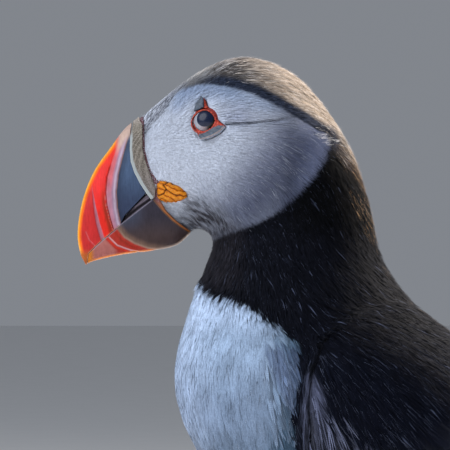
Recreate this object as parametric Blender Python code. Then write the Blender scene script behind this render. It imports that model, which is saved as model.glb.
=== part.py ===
"""A life-size Atlantic puffin in breeding dress, standing still with its head held level.

The bird faces -Y and stands on the ground at z = 0. X is across the body and +Z is up.
All lengths below are in millimetres and become metres where a mesh is made. The outline
is that of the plumage, out to the tips of the feathers.

Head, neck and trunk are one loft of upright to level sections, parted by thin flat cuts.
The bill is a second loft, parted into a cere and two mandibles along its own lines. The
wings are the outer skin of a third, wider loft.
"""

import math

import bmesh
import bpy
from mathutils import Matrix, Vector
from mathutils.bvhtree import BVHTree

MM = 0.001
UP = Vector((0, 0, 1))
GAP = 0.3  # between pieces that meet

# Sections of the body from the bill to the tail root, named for what their upper end
# touches: upper end (y, z), lower end (y, z), half width, and how far above the middle
# (-1 to 1) the section is widest.
SECTIONS = {
    "bill root": ((-86.5, 187.5), (-75.0, 160.5), 6.0, 0.0),
    "forehead": ((-75.6, 197.6), (-67.2, 158.2), 11.3, 0.0),
    "brow": ((-61.6, 207.4), (-63.6, 157.3), 15.6, -0.04),
    "crown": ((-48.6, 210.0), (-61.8, 156.0), 18.6, -0.08),
    "hind crown": ((-33.6, 202.9), (-61.0, 154.3), 20.3, -0.08),
    "nape": ((-19.9, 184.6), (-61.2, 152.0), 21.2, -0.04),
    "neck": ((-13.3, 166.5), (-62.5, 148.4), 22.3, 0.0),
    "collar": ((-9.4, 150.2), (-64.8, 142.2), 25.5, 0.0),
    "shoulder": ((0.0, 136.5), (-69.2, 130.3), 33.0, 0.0),
    "mantle": ((15.2, 125.0), (-72.4, 115.6), 40.5, 0.0),
    "back": ((32.5, 111.0), (-69.6, 99.4), 44.5, 0.0),
    "lower back": ((49.5, 93.0), (-55.5, 76.0), 45.0, 0.0),
    "saddle": ((62.5, 75.0), (-33.5, 56.5), 41.0, 0.05),
    "rump": ((71.5, 60.5), (-3.0, 43.5), 34.0, 0.1),
    "tail coverts": ((78.5, 50.5), (30.0, 36.5), 24.5, 0.1),
    "vent": ((83.0, 45.0), (60.0, 32.5), 16.0, 0.05),
    "tail root": ((87.0, 40.5), (78.0, 29.5), 10.5, 0.0),
}
RINGS_PER_HEAD_SECTION, RINGS_PER_TRUNK_SECTION = 3, 2
RING_SIDES = 30
SIDE_FULLNESS = 0.92  # below 1 the sections are fuller than ellipses
HEAD_ENDS_AT, NECK_ENDS_AT = "nape", "shoulder"

# The bill, from its root to its tip: culmen (y, z), lower edge (y, z) and half width.
BILL_SECTIONS = (
    ((-80.0, 192.6), (-66.0, 158.2), 8.6),
    ((-86.5, 188.0), (-71.2, 153.4), 7.6),
    ((-91.4, 182.3), (-78.6, 151.6), 6.3),
    ((-95.9, 175.9), (-86.0, 150.7), 5.1),
    ((-98.9, 169.0), (-92.0, 149.6), 4.1),
    ((-100.6, 162.0), (-95.6, 148.7), 3.2),
    ((-101.1, 155.5), (-97.6, 148.0), 2.4),
    ((-100.2, 150.3), (-98.6, 147.3), 1.5),
)
BILL_RINGS_PER_SECTION = 2
BILL_SIDES = 20
BILL_FULLNESS = 0.8
CERE_STANDS_PROUD = 0.7

# Lines on the side of the head, as (y, z) from top to bottom or from back to front.
FEATHER_LINE = (
    (-84.0, 194.0), (-81.9, 189.8), (-81.8, 182.0), (-80.9, 178.2),
    (-79.4, 174.3), (-77.9, 170.6), (-78.2, 166.6), (-75.8, 163.7),
    (-72.8, 160.7), (-70.1, 158.6), (-66.6, 156.4),
)
CERE_LINE = (
    (-84.6, 194.0), (-85.1, 188.7), (-85.4, 182.0), (-85.1, 178.2),
    (-84.0, 174.9), (-82.1, 171.3), (-80.3, 168.6), (-78.6, 166.4),
)
# The mandibles stand a little open at the back of the mouth and meet from there forwards.
UPPER_BACK_EDGE = ((-70.0, 179.6), (-80.9, 168.3), (-86.9, 162.0))
LOWER_BACK_EDGE = ((-71.0, 172.6), (-79.4, 166.5))
MEETING_EDGE = (
    (-87.9, 159.9), (-89.6, 158.1), (-93.2, 155.1), (-95.6, 153.0), (-97.7, 150.9), (-98.5, 145.0),
)

EYE_AT = (-63.2, 191.1)
EYE_RADIUS = 4.6
EYE_OPENING_RADIUS = 3.25
# Outlines round the eye, as (back, up) from the middle of the eye.
ORBIT_OUTLINE = (
    (-1.2, 7.3), (-0.2, 6.4), (0.4, 4.8), (1.9, 3.1), (3.5, 1.1), (5.2, -0.5), (7.3, -1.9), (5.6, -4.0),
    (2.7, -5.6), (-0.8, -6.5), (-2.3, -4.2), (-3.6, -2.0), (-4.0, 0.4), (-3.4, 3.0), (-2.7, 5.3),
)
UPPER_PLATE_OUTLINE = ((-3.2, 3.1), (-2.6, 5.2), (-1.3, 7.1), (-0.6, 6.3), (-0.2, 4.2), (-1.4, 3.7))
LOWER_PLATE_OUTLINE = (
    (-1.1, -4.6), (-0.6, -6.2), (2.7, -5.3), (5.6, -3.7), (7.0, -2.1), (5.2, -1.9), (3.1, -2.8), (0.9, -4.2),
)
ORBIT_DEPTH, PLATE_THICKNESS = 1.6, 0.9

ROSETTE_AT, ROSETTE_HEIGHT, ROSETTE_SUNK = (-72.8, 169.2), 1.7, 1.0
ROSETTE_OUTLINE = (
    (-4.2, 2.7), (-3.6, 3.3), (-2.1, 3.3), (0.0, 2.7), (2.4, 1.5), (4.2, 0.0), (4.8, -0.9),
    (4.5, -1.8), (3.3, -2.6), (0.9, -3.2), (-2.1, -3.2), (-4.2, -2.4), (-5.4, -1.5),
)

# The folded wing seen from the side, from the bend down the fore edge to the tip, and back.
WING_OUTLINE = (
    (-29.5, 126.0), (-33.0, 117.0), (-34.2, 106.0), (-33.4, 94.0), (-29.0, 80.0), (-17.0, 67.0), (2.0, 57.0),
    (26.0, 48.0), (52.0, 40.5), (76.0, 33.0), (93.5, 27.5), (96.0, 28.5), (94.5, 33.0), (88.0, 46.0),
    (72.0, 72.0), (50.0, 100.0), (25.0, 124.0), (0.0, 137.0), (-20.0, 134.0),
)
# How far the wing stands off the trunk all over, and how much more it does at each section.
WING_SKIN = 1.2
WING_BULGES = {"collar": 0.0, "shoulder": 2.2, "mantle": 4.2, "rump": 4.2, "vent": 3.4}
WING_TIP_SECTION = ((97.5, 33.0), (90.5, 21.5), 12.0, 0.0)
WING_INNER_EDGE = ((-45.0, 19.0), (30.0, 15.0), (80.0, 6.0), (99.0, 3.5))  # (y, x) beside the back

TAIL_LENGTH, TAIL_HALF_WIDTH, TAIL_THICKNESS = 21.4, 16.5, 2.4

STANCE = 19.0  # from the midline to each leg
STEP = 3.0  # the left foot stands this far ahead of the middle, the right one behind
THIGH_TOP, THIGH_BOTTOM = Vector((18.0, 22.0, 50.0)), Vector((STANCE, 24.0, 29.5))
ANKLE_Y, ANKLE_HEIGHT = 20.0, 6.5
SHANK_RADIUS, HEEL_RADIUS = 2.5, 3.4
TOES = {"inner": (-19.0, 29.0), "middle": (6.0, 37.0), "outer": (29.0, 35.0)}  # degrees out, length
TOE_RADIUS, CLAW_LENGTH, WEB_THICKNESS = 2.3, 7.0, 1.3
# A toe swells at its two joints: share of its length, and half its height there.
TOE_STOPS = ((0, 2.6), (0.25, 2.2), (0.33, 2.5), (0.55, 2.0), (0.63, 2.3), (0.85, 1.7), (1.0, 1.6))

COLOURS = {
    "white": (0.80, 0.82, 0.86),
    "black": (0.025, 0.025, 0.032),
    "cheek": (0.62, 0.64, 0.70),
    "red": (0.75, 0.10, 0.04),
    "slate": (0.11, 0.15, 0.21),
    "cream": (0.50, 0.50, 0.42),
    "yellow": (0.86, 0.42, 0.03),
    "iris": (0.012, 0.02, 0.045),
    "orange": (0.80, 0.22, 0.03),
    "claw": (0.03, 0.027, 0.025),
}


def clear_scene():
    for obj in list(bpy.data.objects):
        bpy.data.objects.remove(obj)


def collection(name):
    made = bpy.data.collections.new(name)
    bpy.context.scene.collection.children.link(made)
    return made


def finish(name, colour, roughness):
    material = bpy.data.materials.new(name)
    material.use_nodes = True
    shader = material.node_tree.nodes["Principled BSDF"]
    shader.inputs["Base Color"].default_value = (*COLOURS[colour], 1)
    shader.inputs["Roughness"].default_value = roughness
    shader.inputs["Metallic"].default_value = 0
    return material


def add_object(name, points, faces, where, material=None):
    """An object from points in millimetres. One with no material is a cutter."""
    mesh = bpy.data.meshes.new(name)
    mesh.from_pydata([Vector(p) * MM for p in points], [], faces)
    obj = bpy.data.objects.new(name, mesh)
    where.objects.link(obj)
    if material:
        mesh.materials.append(material)
        mesh.shade_smooth()
        mesh.set_sharp_from_angle(angle=math.radians(45))
    else:
        obj.hide_render = True
        obj.display_type = "WIRE"
    return obj


def outward(obj):
    """Turns every face of a closed mesh outwards."""
    shape = bmesh.new()
    shape.from_mesh(obj.data)
    bmesh.ops.recalc_face_normals(shape, faces=shape.faces)
    shape.to_mesh(obj.data)
    shape.free()
    return obj


def loft(name, rings, where, material=None):
    """A closed skin through rings of equal count, with a flat face at each end."""
    sides = len(rings[0])
    points = [p for ring in rings for p in ring]
    faces = [tuple(range(sides)), tuple(range(len(points) - sides, len(points)))]
    for r in range(len(rings) - 1):
        for k in range(sides):
            a, b = r * sides + k, r * sides + (k + 1) % sides
            faces.append((a, b, b + sides, a + sides))
    return outward(add_object(name, points, faces, where, material))


def prism(name, outline, low, high, where, material=None, frame=None):
    """An outline in the (y, z) plane drawn out along x. A frame places another plane."""
    frame = frame or Matrix.Identity(4)
    sides = len(outline)
    points = [frame @ Vector((x, y, z)) for x in (low, high) for y, z in outline]
    faces = [tuple(range(sides)), tuple(range(sides, 2 * sides))]
    faces += [(k, (k + 1) % sides, (k + 1) % sides + sides, k + sides) for k in range(sides)]
    return outward(add_object(name, points, faces, where, material))


def ball(name, centre, radii, segments, where, material=None, frame=None):
    """An ellipsoid. Its own axes are those of the frame."""
    obj = add_object(name, [], [], where, material)
    shape = bmesh.new()
    bmesh.ops.create_uvsphere(shape, u_segments=segments, v_segments=segments // 2, radius=1)
    turned = (frame or Matrix.Identity(4)).to_3x3().to_4x4()
    size = Matrix.Diagonal((*(r * MM for r in radii), 1))
    place = Matrix.Translation(Vector(centre) * MM)
    bmesh.ops.transform(shape, matrix=place @ turned @ size, verts=shape.verts)
    shape.to_mesh(obj.data)
    shape.free()
    obj.data.shade_smooth()
    return outward(obj)


def carve(obj, cutter, operation="DIFFERENCE"):
    modifier = obj.modifiers.new(cutter.name, "BOOLEAN")
    modifier.operation = operation
    modifier.object = cutter
    modifier.solver = "EXACT"


def between(keys, at):
    """A smooth curve (Catmull-Rom) through the keys, read at a key's index or between two."""
    k = min(int(at), len(keys) - 2)
    t = at - k
    before, a, b, after = (keys[min(max(i, 0), len(keys) - 1)] for i in (k - 1, k, k + 1, k + 2))
    return [
        0.5 * (2 * q + (r - p) * t + (2 * p - 5 * q + 4 * r - s) * t**2 + (3 * q - p - 3 * r + s) * t**3)
        for p, q, r, s in zip(before, a, b, after, strict=True)
    ]


def section_ring(key, sides, fullness, grow=0.0, bulge=0.0):
    """One closed section: key is upper y, z, lower y, z, half width and widest height.

    A bulge widens the upper part of it and fades out towards its lower end.
    """
    upper, lower = Vector((0, key[0], key[1])), Vector((0, key[2], key[3]))
    up = (upper - lower).normalized()
    half = (upper - lower).length / 2 + grow
    middle = (upper + lower) / 2
    widest = key[5] * half
    ring = []
    for k in range(sides):
        turn = math.tau * k / sides
        c, s = math.cos(turn), math.sin(turn)
        fade = min(max((s + 0.7) / 0.8, 0.0), 1.0)
        wide = key[4] + grow + bulge * fade * fade * (3 - 2 * fade)
        across = math.copysign(abs(c) ** fullness, c) * wide
        reach = half - widest if s > 0 else half + widest
        along = widest + math.copysign(abs(s) ** fullness, s) * reach
        ring.append(middle + up * along + Vector((across, 0, 0)))
    return ring


def body_keys():
    return [(*upper, *lower, width, widest) for upper, lower, width, widest in SECTIONS.values()]


def shifted(ring, distance):
    """A flat ring moved square to its own plane, towards the tail."""
    side, top = ring[0], ring[len(ring) // 4]
    square = (side - ring[len(ring) // 2]).cross(top - ring[3 * len(ring) // 4]).normalized()
    if square.y - square.z < 0:
        square = -square
    return [p + square * distance for p in ring]


def body_rings(first, last, grow=0.0, start_gap=False):
    names = list(SECTIONS)
    start, end = names.index(first), names.index(last)
    on_trunk = end > names.index(NECK_ENDS_AT)
    each = RINGS_PER_TRUNK_SECTION if on_trunk else RINGS_PER_HEAD_SECTION
    keys = body_keys()
    rings = [
        section_ring(between(keys, start + n / each), RING_SIDES, SIDE_FULLNESS, grow)
        for n in range((end - start) * each + 1)
    ]
    if start_gap:
        rings[0] = shifted(rings[0], GAP)
    return rings


def wing_rings():
    """The sections that the outer faces of both folded wings lie on."""
    names = list(SECTIONS)
    start = names.index("collar")
    upper, lower, width, widest = WING_TIP_SECTION
    keys = [*body_keys()[start:], (*upper, *lower, width, widest)]
    bulge, bulges = 0.0, []
    for name in [*names[start:], "tip"]:
        bulge = WING_BULGES.get(name, bulge)
        bulges.append((bulge,))
    steps = [n / RINGS_PER_TRUNK_SECTION for n in range((len(keys) - 1) * RINGS_PER_TRUNK_SECTION + 1)]
    return [
        section_ring(between(keys, at), RING_SIDES, SIDE_FULLNESS, WING_SKIN, between(bulges, at)[0])
        for at in steps
    ]


def tail_rings(grow=0.0):
    """From the round tail root to a thin rounded fan."""
    upper, lower, width, _ = SECTIONS["tail root"]
    upper, lower = Vector((0, *upper)), Vector((0, *lower))
    up = (upper - lower).normalized()
    back = Vector((0, up.z, -up.y))
    root_half = (upper - lower).length / 2
    rings = []
    # share of the length, share of the way to full width, half thickness
    for share, spread, half in (
        (0.0, 0.0, root_half), (0.16, 0.3, 5.0), (0.36, 0.6, 3.0), (0.6, 0.85, TAIL_THICKNESS / 2 + 0.5),
        (0.82, 1.0, TAIL_THICKNESS / 2), (0.94, 0.86, TAIL_THICKNESS / 2), (1.0, 0.5, TAIL_THICKNESS / 2.4),
    ):
        middle = (upper + lower) / 2 + back * (GAP + share * TAIL_LENGTH) + up * (root_half - half) * 0.35
        wide = width + spread * (TAIL_HALF_WIDTH - width)
        top, bottom = middle + up * half, middle - up * half
        rings.append(section_ring((top.y, top.z, bottom.y, bottom.z, wide, 0), 24, 0.85, grow))
    return rings


def dome(name, outline, height, sunk, where, material, frame):
    """A low rounded pad on an outline, in a frame whose x stands out of the surface."""
    middle = sum((Vector(p) for p in outline), Vector((0, 0))) / len(outline)
    rings = []
    for scale, level in ((1.0, -sunk), (1.0, 0.3 * height), (0.86, 0.7 * height), (0.5, height)):
        flat = [middle.lerp(Vector(p), scale) for p in outline]
        rings.append([frame @ Vector((level, *p)) for p in flat])
    return loft(name, rings, where, material)


def side_frame(surface, y, z, side, reach=3.5):
    """A frame on the head's side: x out of the surface, y back along it, z up along it."""

    def touch(dy, dz):
        start = Vector((side * 0.08, (y + dy) * MM, (z + dz) * MM))
        return surface.ray_cast(start, Vector((-side, 0, 0)))[0] / MM

    back = (touch(reach, 0) - touch(-reach, 0)).normalized()
    up = touch(0, reach) - touch(0, -reach)
    up = (up - back * up.dot(back)).normalized()
    out = up.cross(back) if up.cross(back).x * side > 0 else back.cross(up)
    frame = Matrix((out, back, up)).transposed().to_4x4()
    frame.translation = touch(0, 0)
    return frame


def build_body(parts, cutters):
    head = loft("head", body_rings("bill root", HEAD_ENDS_AT), parts, finish("head", "cheek", 0.8))
    neck = body_rings(HEAD_ENDS_AT, NECK_ENDS_AT, start_gap=True)
    loft("neck", neck, parts, finish("neck", "black", 0.8))
    trunk = body_rings(NECK_ENDS_AT, "tail root", start_gap=True)
    loft("trunk", trunk, parts, finish("trunk", "white", 0.8))
    loft("tail", tail_rings(), parts, finish("tail", "black", 0.7))
    in_front = [*FEATHER_LINE, (-66.6, 130.0), (-120.0, 130.0), (-120.0, 215.0), (-84.0, 215.0)]
    carve(head, prism("bill_side_of_feather_line", in_front, -40, 40, cutters))
    return head


def build_bill(parts, cutters):
    keys = [(*upper, *lower, width, 0.0) for upper, lower, width in BILL_SECTIONS]
    count = (len(keys) - 1) * BILL_RINGS_PER_SECTION

    def blade(name, colour, grow=0.0):
        rings = [
            section_ring(between(keys, n / BILL_RINGS_PER_SECTION), BILL_SIDES, BILL_FULLNESS, grow)
            for n in range(count + 1)
        ]
        return loft(name, rings, parts, finish(name, colour, 0.35))

    def behind(line, distance):
        return [(y - distance, z) for y, z in line]

    feathers = [*behind(FEATHER_LINE, GAP), (-66.9, 130), (-40, 130), (-40, 215), (-84.3, 215)]
    head_side = prism("head_side_of_bill", feathers, -30, 30, cutters)
    lower_lip = [*LOWER_BACK_EDGE, *MEETING_EDGE]
    under = [(-98.5, 130), (-50, 130)]
    below = prism("under_mouth", [*UPPER_BACK_EDGE, *MEETING_EDGE, *under, (-50, 179.6)], -30, 30, cutters)
    below_cere = prism("under_cere", [*lower_lip, *under, (-50, 172.6)], -30, 30, cutters)
    over = [(-110, 144.7), (-110, 215), (-50, 215), (-50, 172)]
    above = prism("over_mouth", [*((y, z - GAP) for y, z in lower_lip), *over], -30, 30, cutters)
    back = [*behind(CERE_LINE, GAP), (-60, 166.4), (-60, 215), (-84.9, 215)]
    cere_side = prism("cere_side", back, -30, 30, cutters)
    front = [*CERE_LINE, (-78.6, 120), (-130, 120), (-130, 215), (-84.6, 215)]
    horn_side = prism("horn_side", front, -30, 30, cutters)

    upper = blade("upper_mandible", "red")
    for cutter in (head_side, cere_side, below):
        carve(upper, cutter)
    lower = blade("lower_mandible", "red")
    for cutter in (head_side, above):
        carve(lower, cutter)
    cere = blade("cere", "cream", CERE_STANDS_PROUD)
    for cutter in (head_side, horn_side, below_cere):
        carve(cere, cutter)


def build_eye(side, name, head, surface, parts, cutters):
    """The eyeball, the bare red skin round it and the two horny plates on that skin."""
    frame = side_frame(surface, *EYE_AT, side)
    depth = math.sqrt(EYE_RADIUS**2 - EYE_OPENING_RADIUS**2)
    centre = frame @ Vector((-depth, 0, 0))
    carve(head, ball(f"eye_room_{name}", centre, [EYE_RADIUS + GAP] * 3, 20, cutters))
    carve(head, prism(f"orbit_room_{name}", ORBIT_OUTLINE, -ORBIT_DEPTH, 6, cutters, frame=frame))
    ball(f"eye_{name}", centre, [EYE_RADIUS] * 3, 16, parts, finish(f"eye_{name}", "iris", 0.1), frame)
    shrunk = [(y * 0.94, z * 0.94) for y, z in ORBIT_OUTLINE]
    orbit = prism(
        f"orbit_{name}", shrunk, GAP - ORBIT_DEPTH, 0.2, parts, finish(f"orbit_{name}", "red", 0.6), frame
    )
    carve(orbit, ball(f"eye_opening_{name}", centre, [EYE_RADIUS + GAP] * 3, 20, cutters))
    for plate, outline in (("upper", UPPER_PLATE_OUTLINE), ("lower", LOWER_PLATE_OUTLINE)):
        piece = f"eye_plate_{plate}_{name}"
        base = 0.2 + GAP
        prism(piece, outline, base, base + PLATE_THICKNESS, parts, finish(piece, "slate", 0.5), frame)


def build_rosette(side, name, head, surface, parts, cutters):
    """The fleshy folded skin at the corner of the gape."""
    frame = side_frame(surface, *ROSETTE_AT, side)
    skin = finish(f"rosette_{name}", "yellow", 0.5)
    rosette = dome(f"rosette_{name}", ROSETTE_OUTLINE, ROSETTE_HEIGHT, ROSETTE_SUNK, parts, skin, frame)
    wider = [(y * 1.08, z * 1.1) for y, z in ROSETTE_OUTLINE]
    carve(head, prism(f"rosette_room_{name}", wider, -ROSETTE_SUNK - GAP, 8, cutters, frame=frame))
    carve(rosette, bpy.data.objects["bill_side_of_feather_line"])


def build_wings(parts, cutters):
    trunk_room = loft("trunk_room", body_rings("collar", "tail root", grow=GAP), cutters)
    tail_room = loft("tail_room", tail_rings(grow=GAP), cutters)
    for side, name in ((1, "left"), (-1, "right")):
        wing = loft(f"wing_{name}", wing_rings(), parts, finish(f"wing_{name}", "black", 0.7))
        near, far = sorted((0.5 * side, 90 * side))
        carve(wing, prism(f"wing_outline_{name}", WING_OUTLINE, near, far, cutters), "INTERSECT")
        edge = [(side * x, y) for y, x in WING_INNER_EDGE]
        edge += [(-side * 30, 99.0), (-side * 30, -45.0)]
        points = [Vector((x, y, z)) for z in (0, 200) for x, y in edge]
        n = len(edge)
        faces = [tuple(range(n)), tuple(range(n, 2 * n))]
        faces += [(k, (k + 1) % n, (k + 1) % n + n, k + n) for k in range(n)]
        carve(wing, outward(add_object(f"back_strip_{name}", points, faces, cutters)))
        carve(wing, trunk_room)
        carve(wing, tail_room)


def tube(name, stops, where, material=None, sides=12, level=False):
    """A loft through round stops, each a centre and two radii. Level sections lie flat."""
    rings = []
    for n, (centre, across, along) in enumerate(stops):
        ahead = Vector(stops[min(n + 1, len(stops) - 1)][0]) - Vector(stops[max(n - 1, 0)][0])
        ahead = Vector((0, 0, -1)) if level else ahead.normalized()
        right = Vector((1, 0, 0)) if abs(ahead.x) < 0.9 else Vector((0, 1, 0))
        right = (right - ahead * right.dot(ahead)).normalized()
        other = ahead.cross(right)
        ring = []
        for k in range(sides):
            turn = math.tau * k / sides
            offset = right * across * math.cos(turn) + other * along * math.sin(turn)
            ring.append(Vector(centre) + offset)
        rings.append(ring)
    return loft(name, rings, where, material)


def build_leg(side, name, parts, cutters):
    """Feathered thigh, bare shank and the webbed foot with its three claws."""
    top, bottom = THIGH_TOP.copy(), THIGH_BOTTOM.copy()
    ankle = Vector((STANCE, ANKLE_Y - side * STEP, 0))
    for p in (top, bottom, ankle):
        p.x *= side
    middle = (top + bottom) / 2
    hem = bottom + Vector((0, 0, 2.5))
    stops = ((top, 12, 14), (middle, 9.5, 11.5), (hem, 5.6, 6.6), (bottom, 4.2, 4.8))
    thigh = tube(
        f"thigh_{name}", stops, parts, finish(f"thigh_{name}", "white", 0.8), 16, level=True
    )
    carve(thigh, bpy.data.objects["trunk_room"])

    upper = bottom - Vector((0, 0, GAP))
    lower = ankle + Vector((0, 0, ANKLE_HEIGHT + GAP))
    heel = upper.lerp(lower, 0.12)
    shin = upper.lerp(lower, 0.35)
    stops = (
        (upper, 2.7, 3.0),
        (heel, HEEL_RADIUS - 0.3, HEEL_RADIUS),
        (shin, SHANK_RADIUS - 0.4, SHANK_RADIUS),
        (lower.lerp(upper, 0.12), SHANK_RADIUS - 0.3, SHANK_RADIUS),
        (lower, SHANK_RADIUS, SHANK_RADIUS + 0.4),
    )
    tube(f"shank_{name}", stops, parts, finish(f"shank_{name}", "orange", 0.5), level=True)

    ground = Vector((0, 0, TOE_RADIUS * 0.55))
    stops = (
        (ankle + Vector((0, 0, ANKLE_HEIGHT)), SHANK_RADIUS, SHANK_RADIUS + 0.4),
        (ankle + Vector((0, 0, 3.5)), 3.1, 3.6),
        (ankle + Vector((0, 0, 1.5)), 3.4, 4.2),
        (ankle + Vector((0, 0, -1.0)), 3.2, 4.0),
    )
    foot = tube(f"foot_{name}", stops, parts, finish(f"foot_{name}", "orange", 0.5), level=True)
    web = [(ankle.x, ankle.y + 1.5)]
    tips = []
    for toe, (turn, length) in TOES.items():
        turn = math.radians(turn) * side
        ahead = Vector((math.sin(turn), -math.cos(turn), 0))
        tip = ankle + ahead * length
        tips.append((tip, ahead))
        stops = [
            (ankle + ahead * length * share + ground * (1 - 0.15 * share), radius * 1.12, radius)
            for share, radius in TOE_STOPS
        ]
        carve(foot, tube(f"toe_{toe}_{name}", stops, cutters, sides=10), "UNION")
        claw = [
            (tip + ahead * (GAP + share * CLAW_LENGTH) + UP * height, radius * 1.2, radius)
            for share, height, radius in ((0, 1.5, 1.3), (0.4, 1.9, 1.1), (0.75, 1.4, 0.7), (1.0, 0.6, 0.3))
        ]
        tube(f"claw_{toe}_{name}", claw, parts, finish(f"claw_{toe}_{name}", "claw", 0.3), 8)
    for n, (tip, ahead) in enumerate(tips):
        near = tip - ahead * 2.0
        web.append((near.x, near.y))
        if n < 2:
            # The web's fore edge hangs between two toes in a shallow curve.
            other = tips[n + 1][0] - tips[n + 1][1] * 2.0
            chord_middle = (near + other) / 2
            sag = chord_middle.lerp(ankle, 0.16)
            for share in (0.25, 0.5, 0.75):
                on_chord = near.lerp(other, share)
                pull = 4 * share * (1 - share)
                web.append(tuple((on_chord + (sag - chord_middle) * pull).xy))
    n = len(web)
    points = [Vector((x, y, z)) for z in (-1.0, WEB_THICKNESS) for x, y in web]
    faces = [tuple(range(n)), tuple(range(n, 2 * n))]
    faces += [(k, (k + 1) % n, (k + 1) % n + n, k + n) for k in range(n)]
    carve(foot, outward(add_object(f"web_{name}", points, faces, cutters)), "UNION")
    carve(foot, bpy.data.objects["under_ground"])


def main():
    clear_scene()
    parts, cutters = collection("Atlantic puffin"), collection("Cutters")
    head = build_body(parts, cutters)
    whole_head = loft("whole_head", body_rings("bill root", HEAD_ENDS_AT), cutters)
    bpy.context.view_layer.update()
    surface = BVHTree.FromObject(whole_head, bpy.context.evaluated_depsgraph_get())
    build_bill(parts, cutters)
    prism("under_ground", [(-80, -20), (80, -20), (80, 0), (-80, 0)], -60, 60, cutters)
    build_wings(parts, cutters)
    for side, name in ((1, "left"), (-1, "right")):
        build_eye(side, name, head, surface, parts, cutters)
        build_rosette(side, name, head, surface, parts, cutters)
        build_leg(side, name, parts, cutters)


main()
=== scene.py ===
"""Looks of a life-size Atlantic puffin in breeding dress: skin, plumage, bill, eyes and feet.

Points are in mm: x to the bird's left, y to its tail, z up. Outlines are given on its side, in (y, z).
"""

import math

import bmesh
import bpy
import numpy as np
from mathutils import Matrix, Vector
from mathutils.bvhtree import BVHTree
from mathutils.kdtree import KDTree


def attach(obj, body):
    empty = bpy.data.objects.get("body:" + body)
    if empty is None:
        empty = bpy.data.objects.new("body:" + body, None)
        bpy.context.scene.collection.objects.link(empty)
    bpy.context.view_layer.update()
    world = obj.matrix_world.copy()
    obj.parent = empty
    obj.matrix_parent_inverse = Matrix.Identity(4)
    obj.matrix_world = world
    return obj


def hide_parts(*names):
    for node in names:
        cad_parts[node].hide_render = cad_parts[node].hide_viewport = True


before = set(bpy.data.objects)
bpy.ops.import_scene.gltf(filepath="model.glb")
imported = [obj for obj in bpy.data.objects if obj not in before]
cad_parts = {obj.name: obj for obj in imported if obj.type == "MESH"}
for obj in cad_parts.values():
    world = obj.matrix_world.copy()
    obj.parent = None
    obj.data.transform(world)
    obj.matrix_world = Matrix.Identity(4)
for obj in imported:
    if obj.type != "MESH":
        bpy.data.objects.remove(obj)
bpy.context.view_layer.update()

MM = 0.001
SEED = 7
SIDES = (("left", 1), ("right", -1))
FLESH = ("head", "neck", "trunk", "tail", "wing_left", "wing_right", "thigh_left", "thigh_right")
EYE = (-63.2, 191.1)  # middle of the eye
GAPE = (-72.8, 169.2)  # middle of the rosette at the corner of the mouth
FRONT_TOP = 146.0  # the white front lies below this height
FAR = 80.0  # how far out from the middle rays start that look for the skin
FLOOR_GAP = 0.02  # how far the feet stay above the floor

# ---------------------------------------------------------------------------------------
# Small tools


def linear(hex_colour):
    """An sRGB hex colour as linear red, green and blue."""
    parts = [int(hex_colour[i : i + 2], 16) / 255 for i in (0, 2, 4)]
    return np.array([c / 12.92 if c <= 0.04045 else ((c + 0.055) / 1.055) ** 2.4 for c in parts])


def smooth(low, high, value):
    """Goes from 0 at low to 1 at high with soft ends. Low may be the greater of the two."""
    t = np.clip((value - low) / (high - low), 0.0, 1.0)
    return t * t * (3 - 2 * t)


def mix(a, b, share):
    """A blend from a to b, each an array or an sRGB hex colour."""
    a, b = (linear(c) if isinstance(c, str) else c for c in (a, b))
    return a + (b - a) * np.asarray(share)[..., None]


def unit(v):
    return v / np.maximum(np.linalg.norm(v, axis=-1, keepdims=True), 1e-12)


def points_of(mesh):
    co = np.empty(len(mesh.vertices) * 3, np.float32)
    mesh.vertices.foreach_get("co", co)
    return co.reshape(-1, 3).astype(float) / MM


def normals_of(mesh):
    no = np.empty(len(mesh.vertices) * 3, np.float32)
    mesh.vertices.foreach_get("normal", no)
    return no.reshape(-1, 3).astype(float)


def set_points(mesh, points):
    mesh.vertices.foreach_set("co", (points * MM).astype(np.float32).ravel())
    mesh.update()


def edges_of(mesh):
    e = np.empty(len(mesh.edges) * 2, np.int32)
    mesh.edges.foreach_get("vertices", e)
    return e.reshape(-1, 2)


def relax(points, edges, rounds, pull=0.5, back=-0.52):
    """Smooths a mesh and keeps its size: each round pulls points together, then pushes back."""
    count = np.bincount(edges.ravel(), minlength=len(points))[:, None].clip(1)
    for step in [pull, back] * rounds:
        total = np.zeros_like(points)
        for k in range(3):
            total[:, k] = np.bincount(edges[:, 0], points[edges[:, 1], k], len(points))
            total[:, k] += np.bincount(edges[:, 1], points[edges[:, 0], k], len(points))
        points = points + step * (total / count - points)
    return points


def inside(y, z, outline):
    """Which points lie inside a closed outline."""
    found = np.zeros(np.shape(y), bool)
    outline = np.asarray(outline, float)
    for (y0, z0), (y1, z1) in zip(outline, np.roll(outline, -1, 0), strict=True):
        crosses = (z0 > z) != (z1 > z)
        with np.errstate(divide="ignore", invalid="ignore"):
            found ^= crosses & (y < (y1 - y0) * (z - z0) / (z1 - z0 + 1e-12) + y0)
    return found


def distance(y, z, line, closed=False):
    """Distance to a line of points, and the share of its length where it is nearest."""
    line = np.asarray(line, float)
    if closed:
        line = np.vstack([line, line[:1]])
    steps = np.linalg.norm(np.diff(line, axis=0), axis=1)
    start = np.concatenate([[0], np.cumsum(steps)])
    best = np.full(np.shape(y), 1e9)
    at = np.zeros(np.shape(y))
    for k, (a, b) in enumerate(zip(line[:-1], line[1:], strict=True)):
        d = b - a
        t = np.clip(((y - a[0]) * d[0] + (z - a[1]) * d[1]) / (d @ d), 0, 1)
        gap = np.hypot(y - a[0] - t * d[0], z - a[1] - t * d[1])
        near = gap < best
        best = np.where(near, gap, best)
        at = np.where(near, (start[k] + t * steps[k]) / start[-1], at)
    return best, at


def within(y, z, outline):
    """Distance in from a closed outline, negative outside it."""
    gap, _ = distance(y, z, outline, closed=True)
    return np.where(inside(y, z, outline), gap, -gap)


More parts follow.
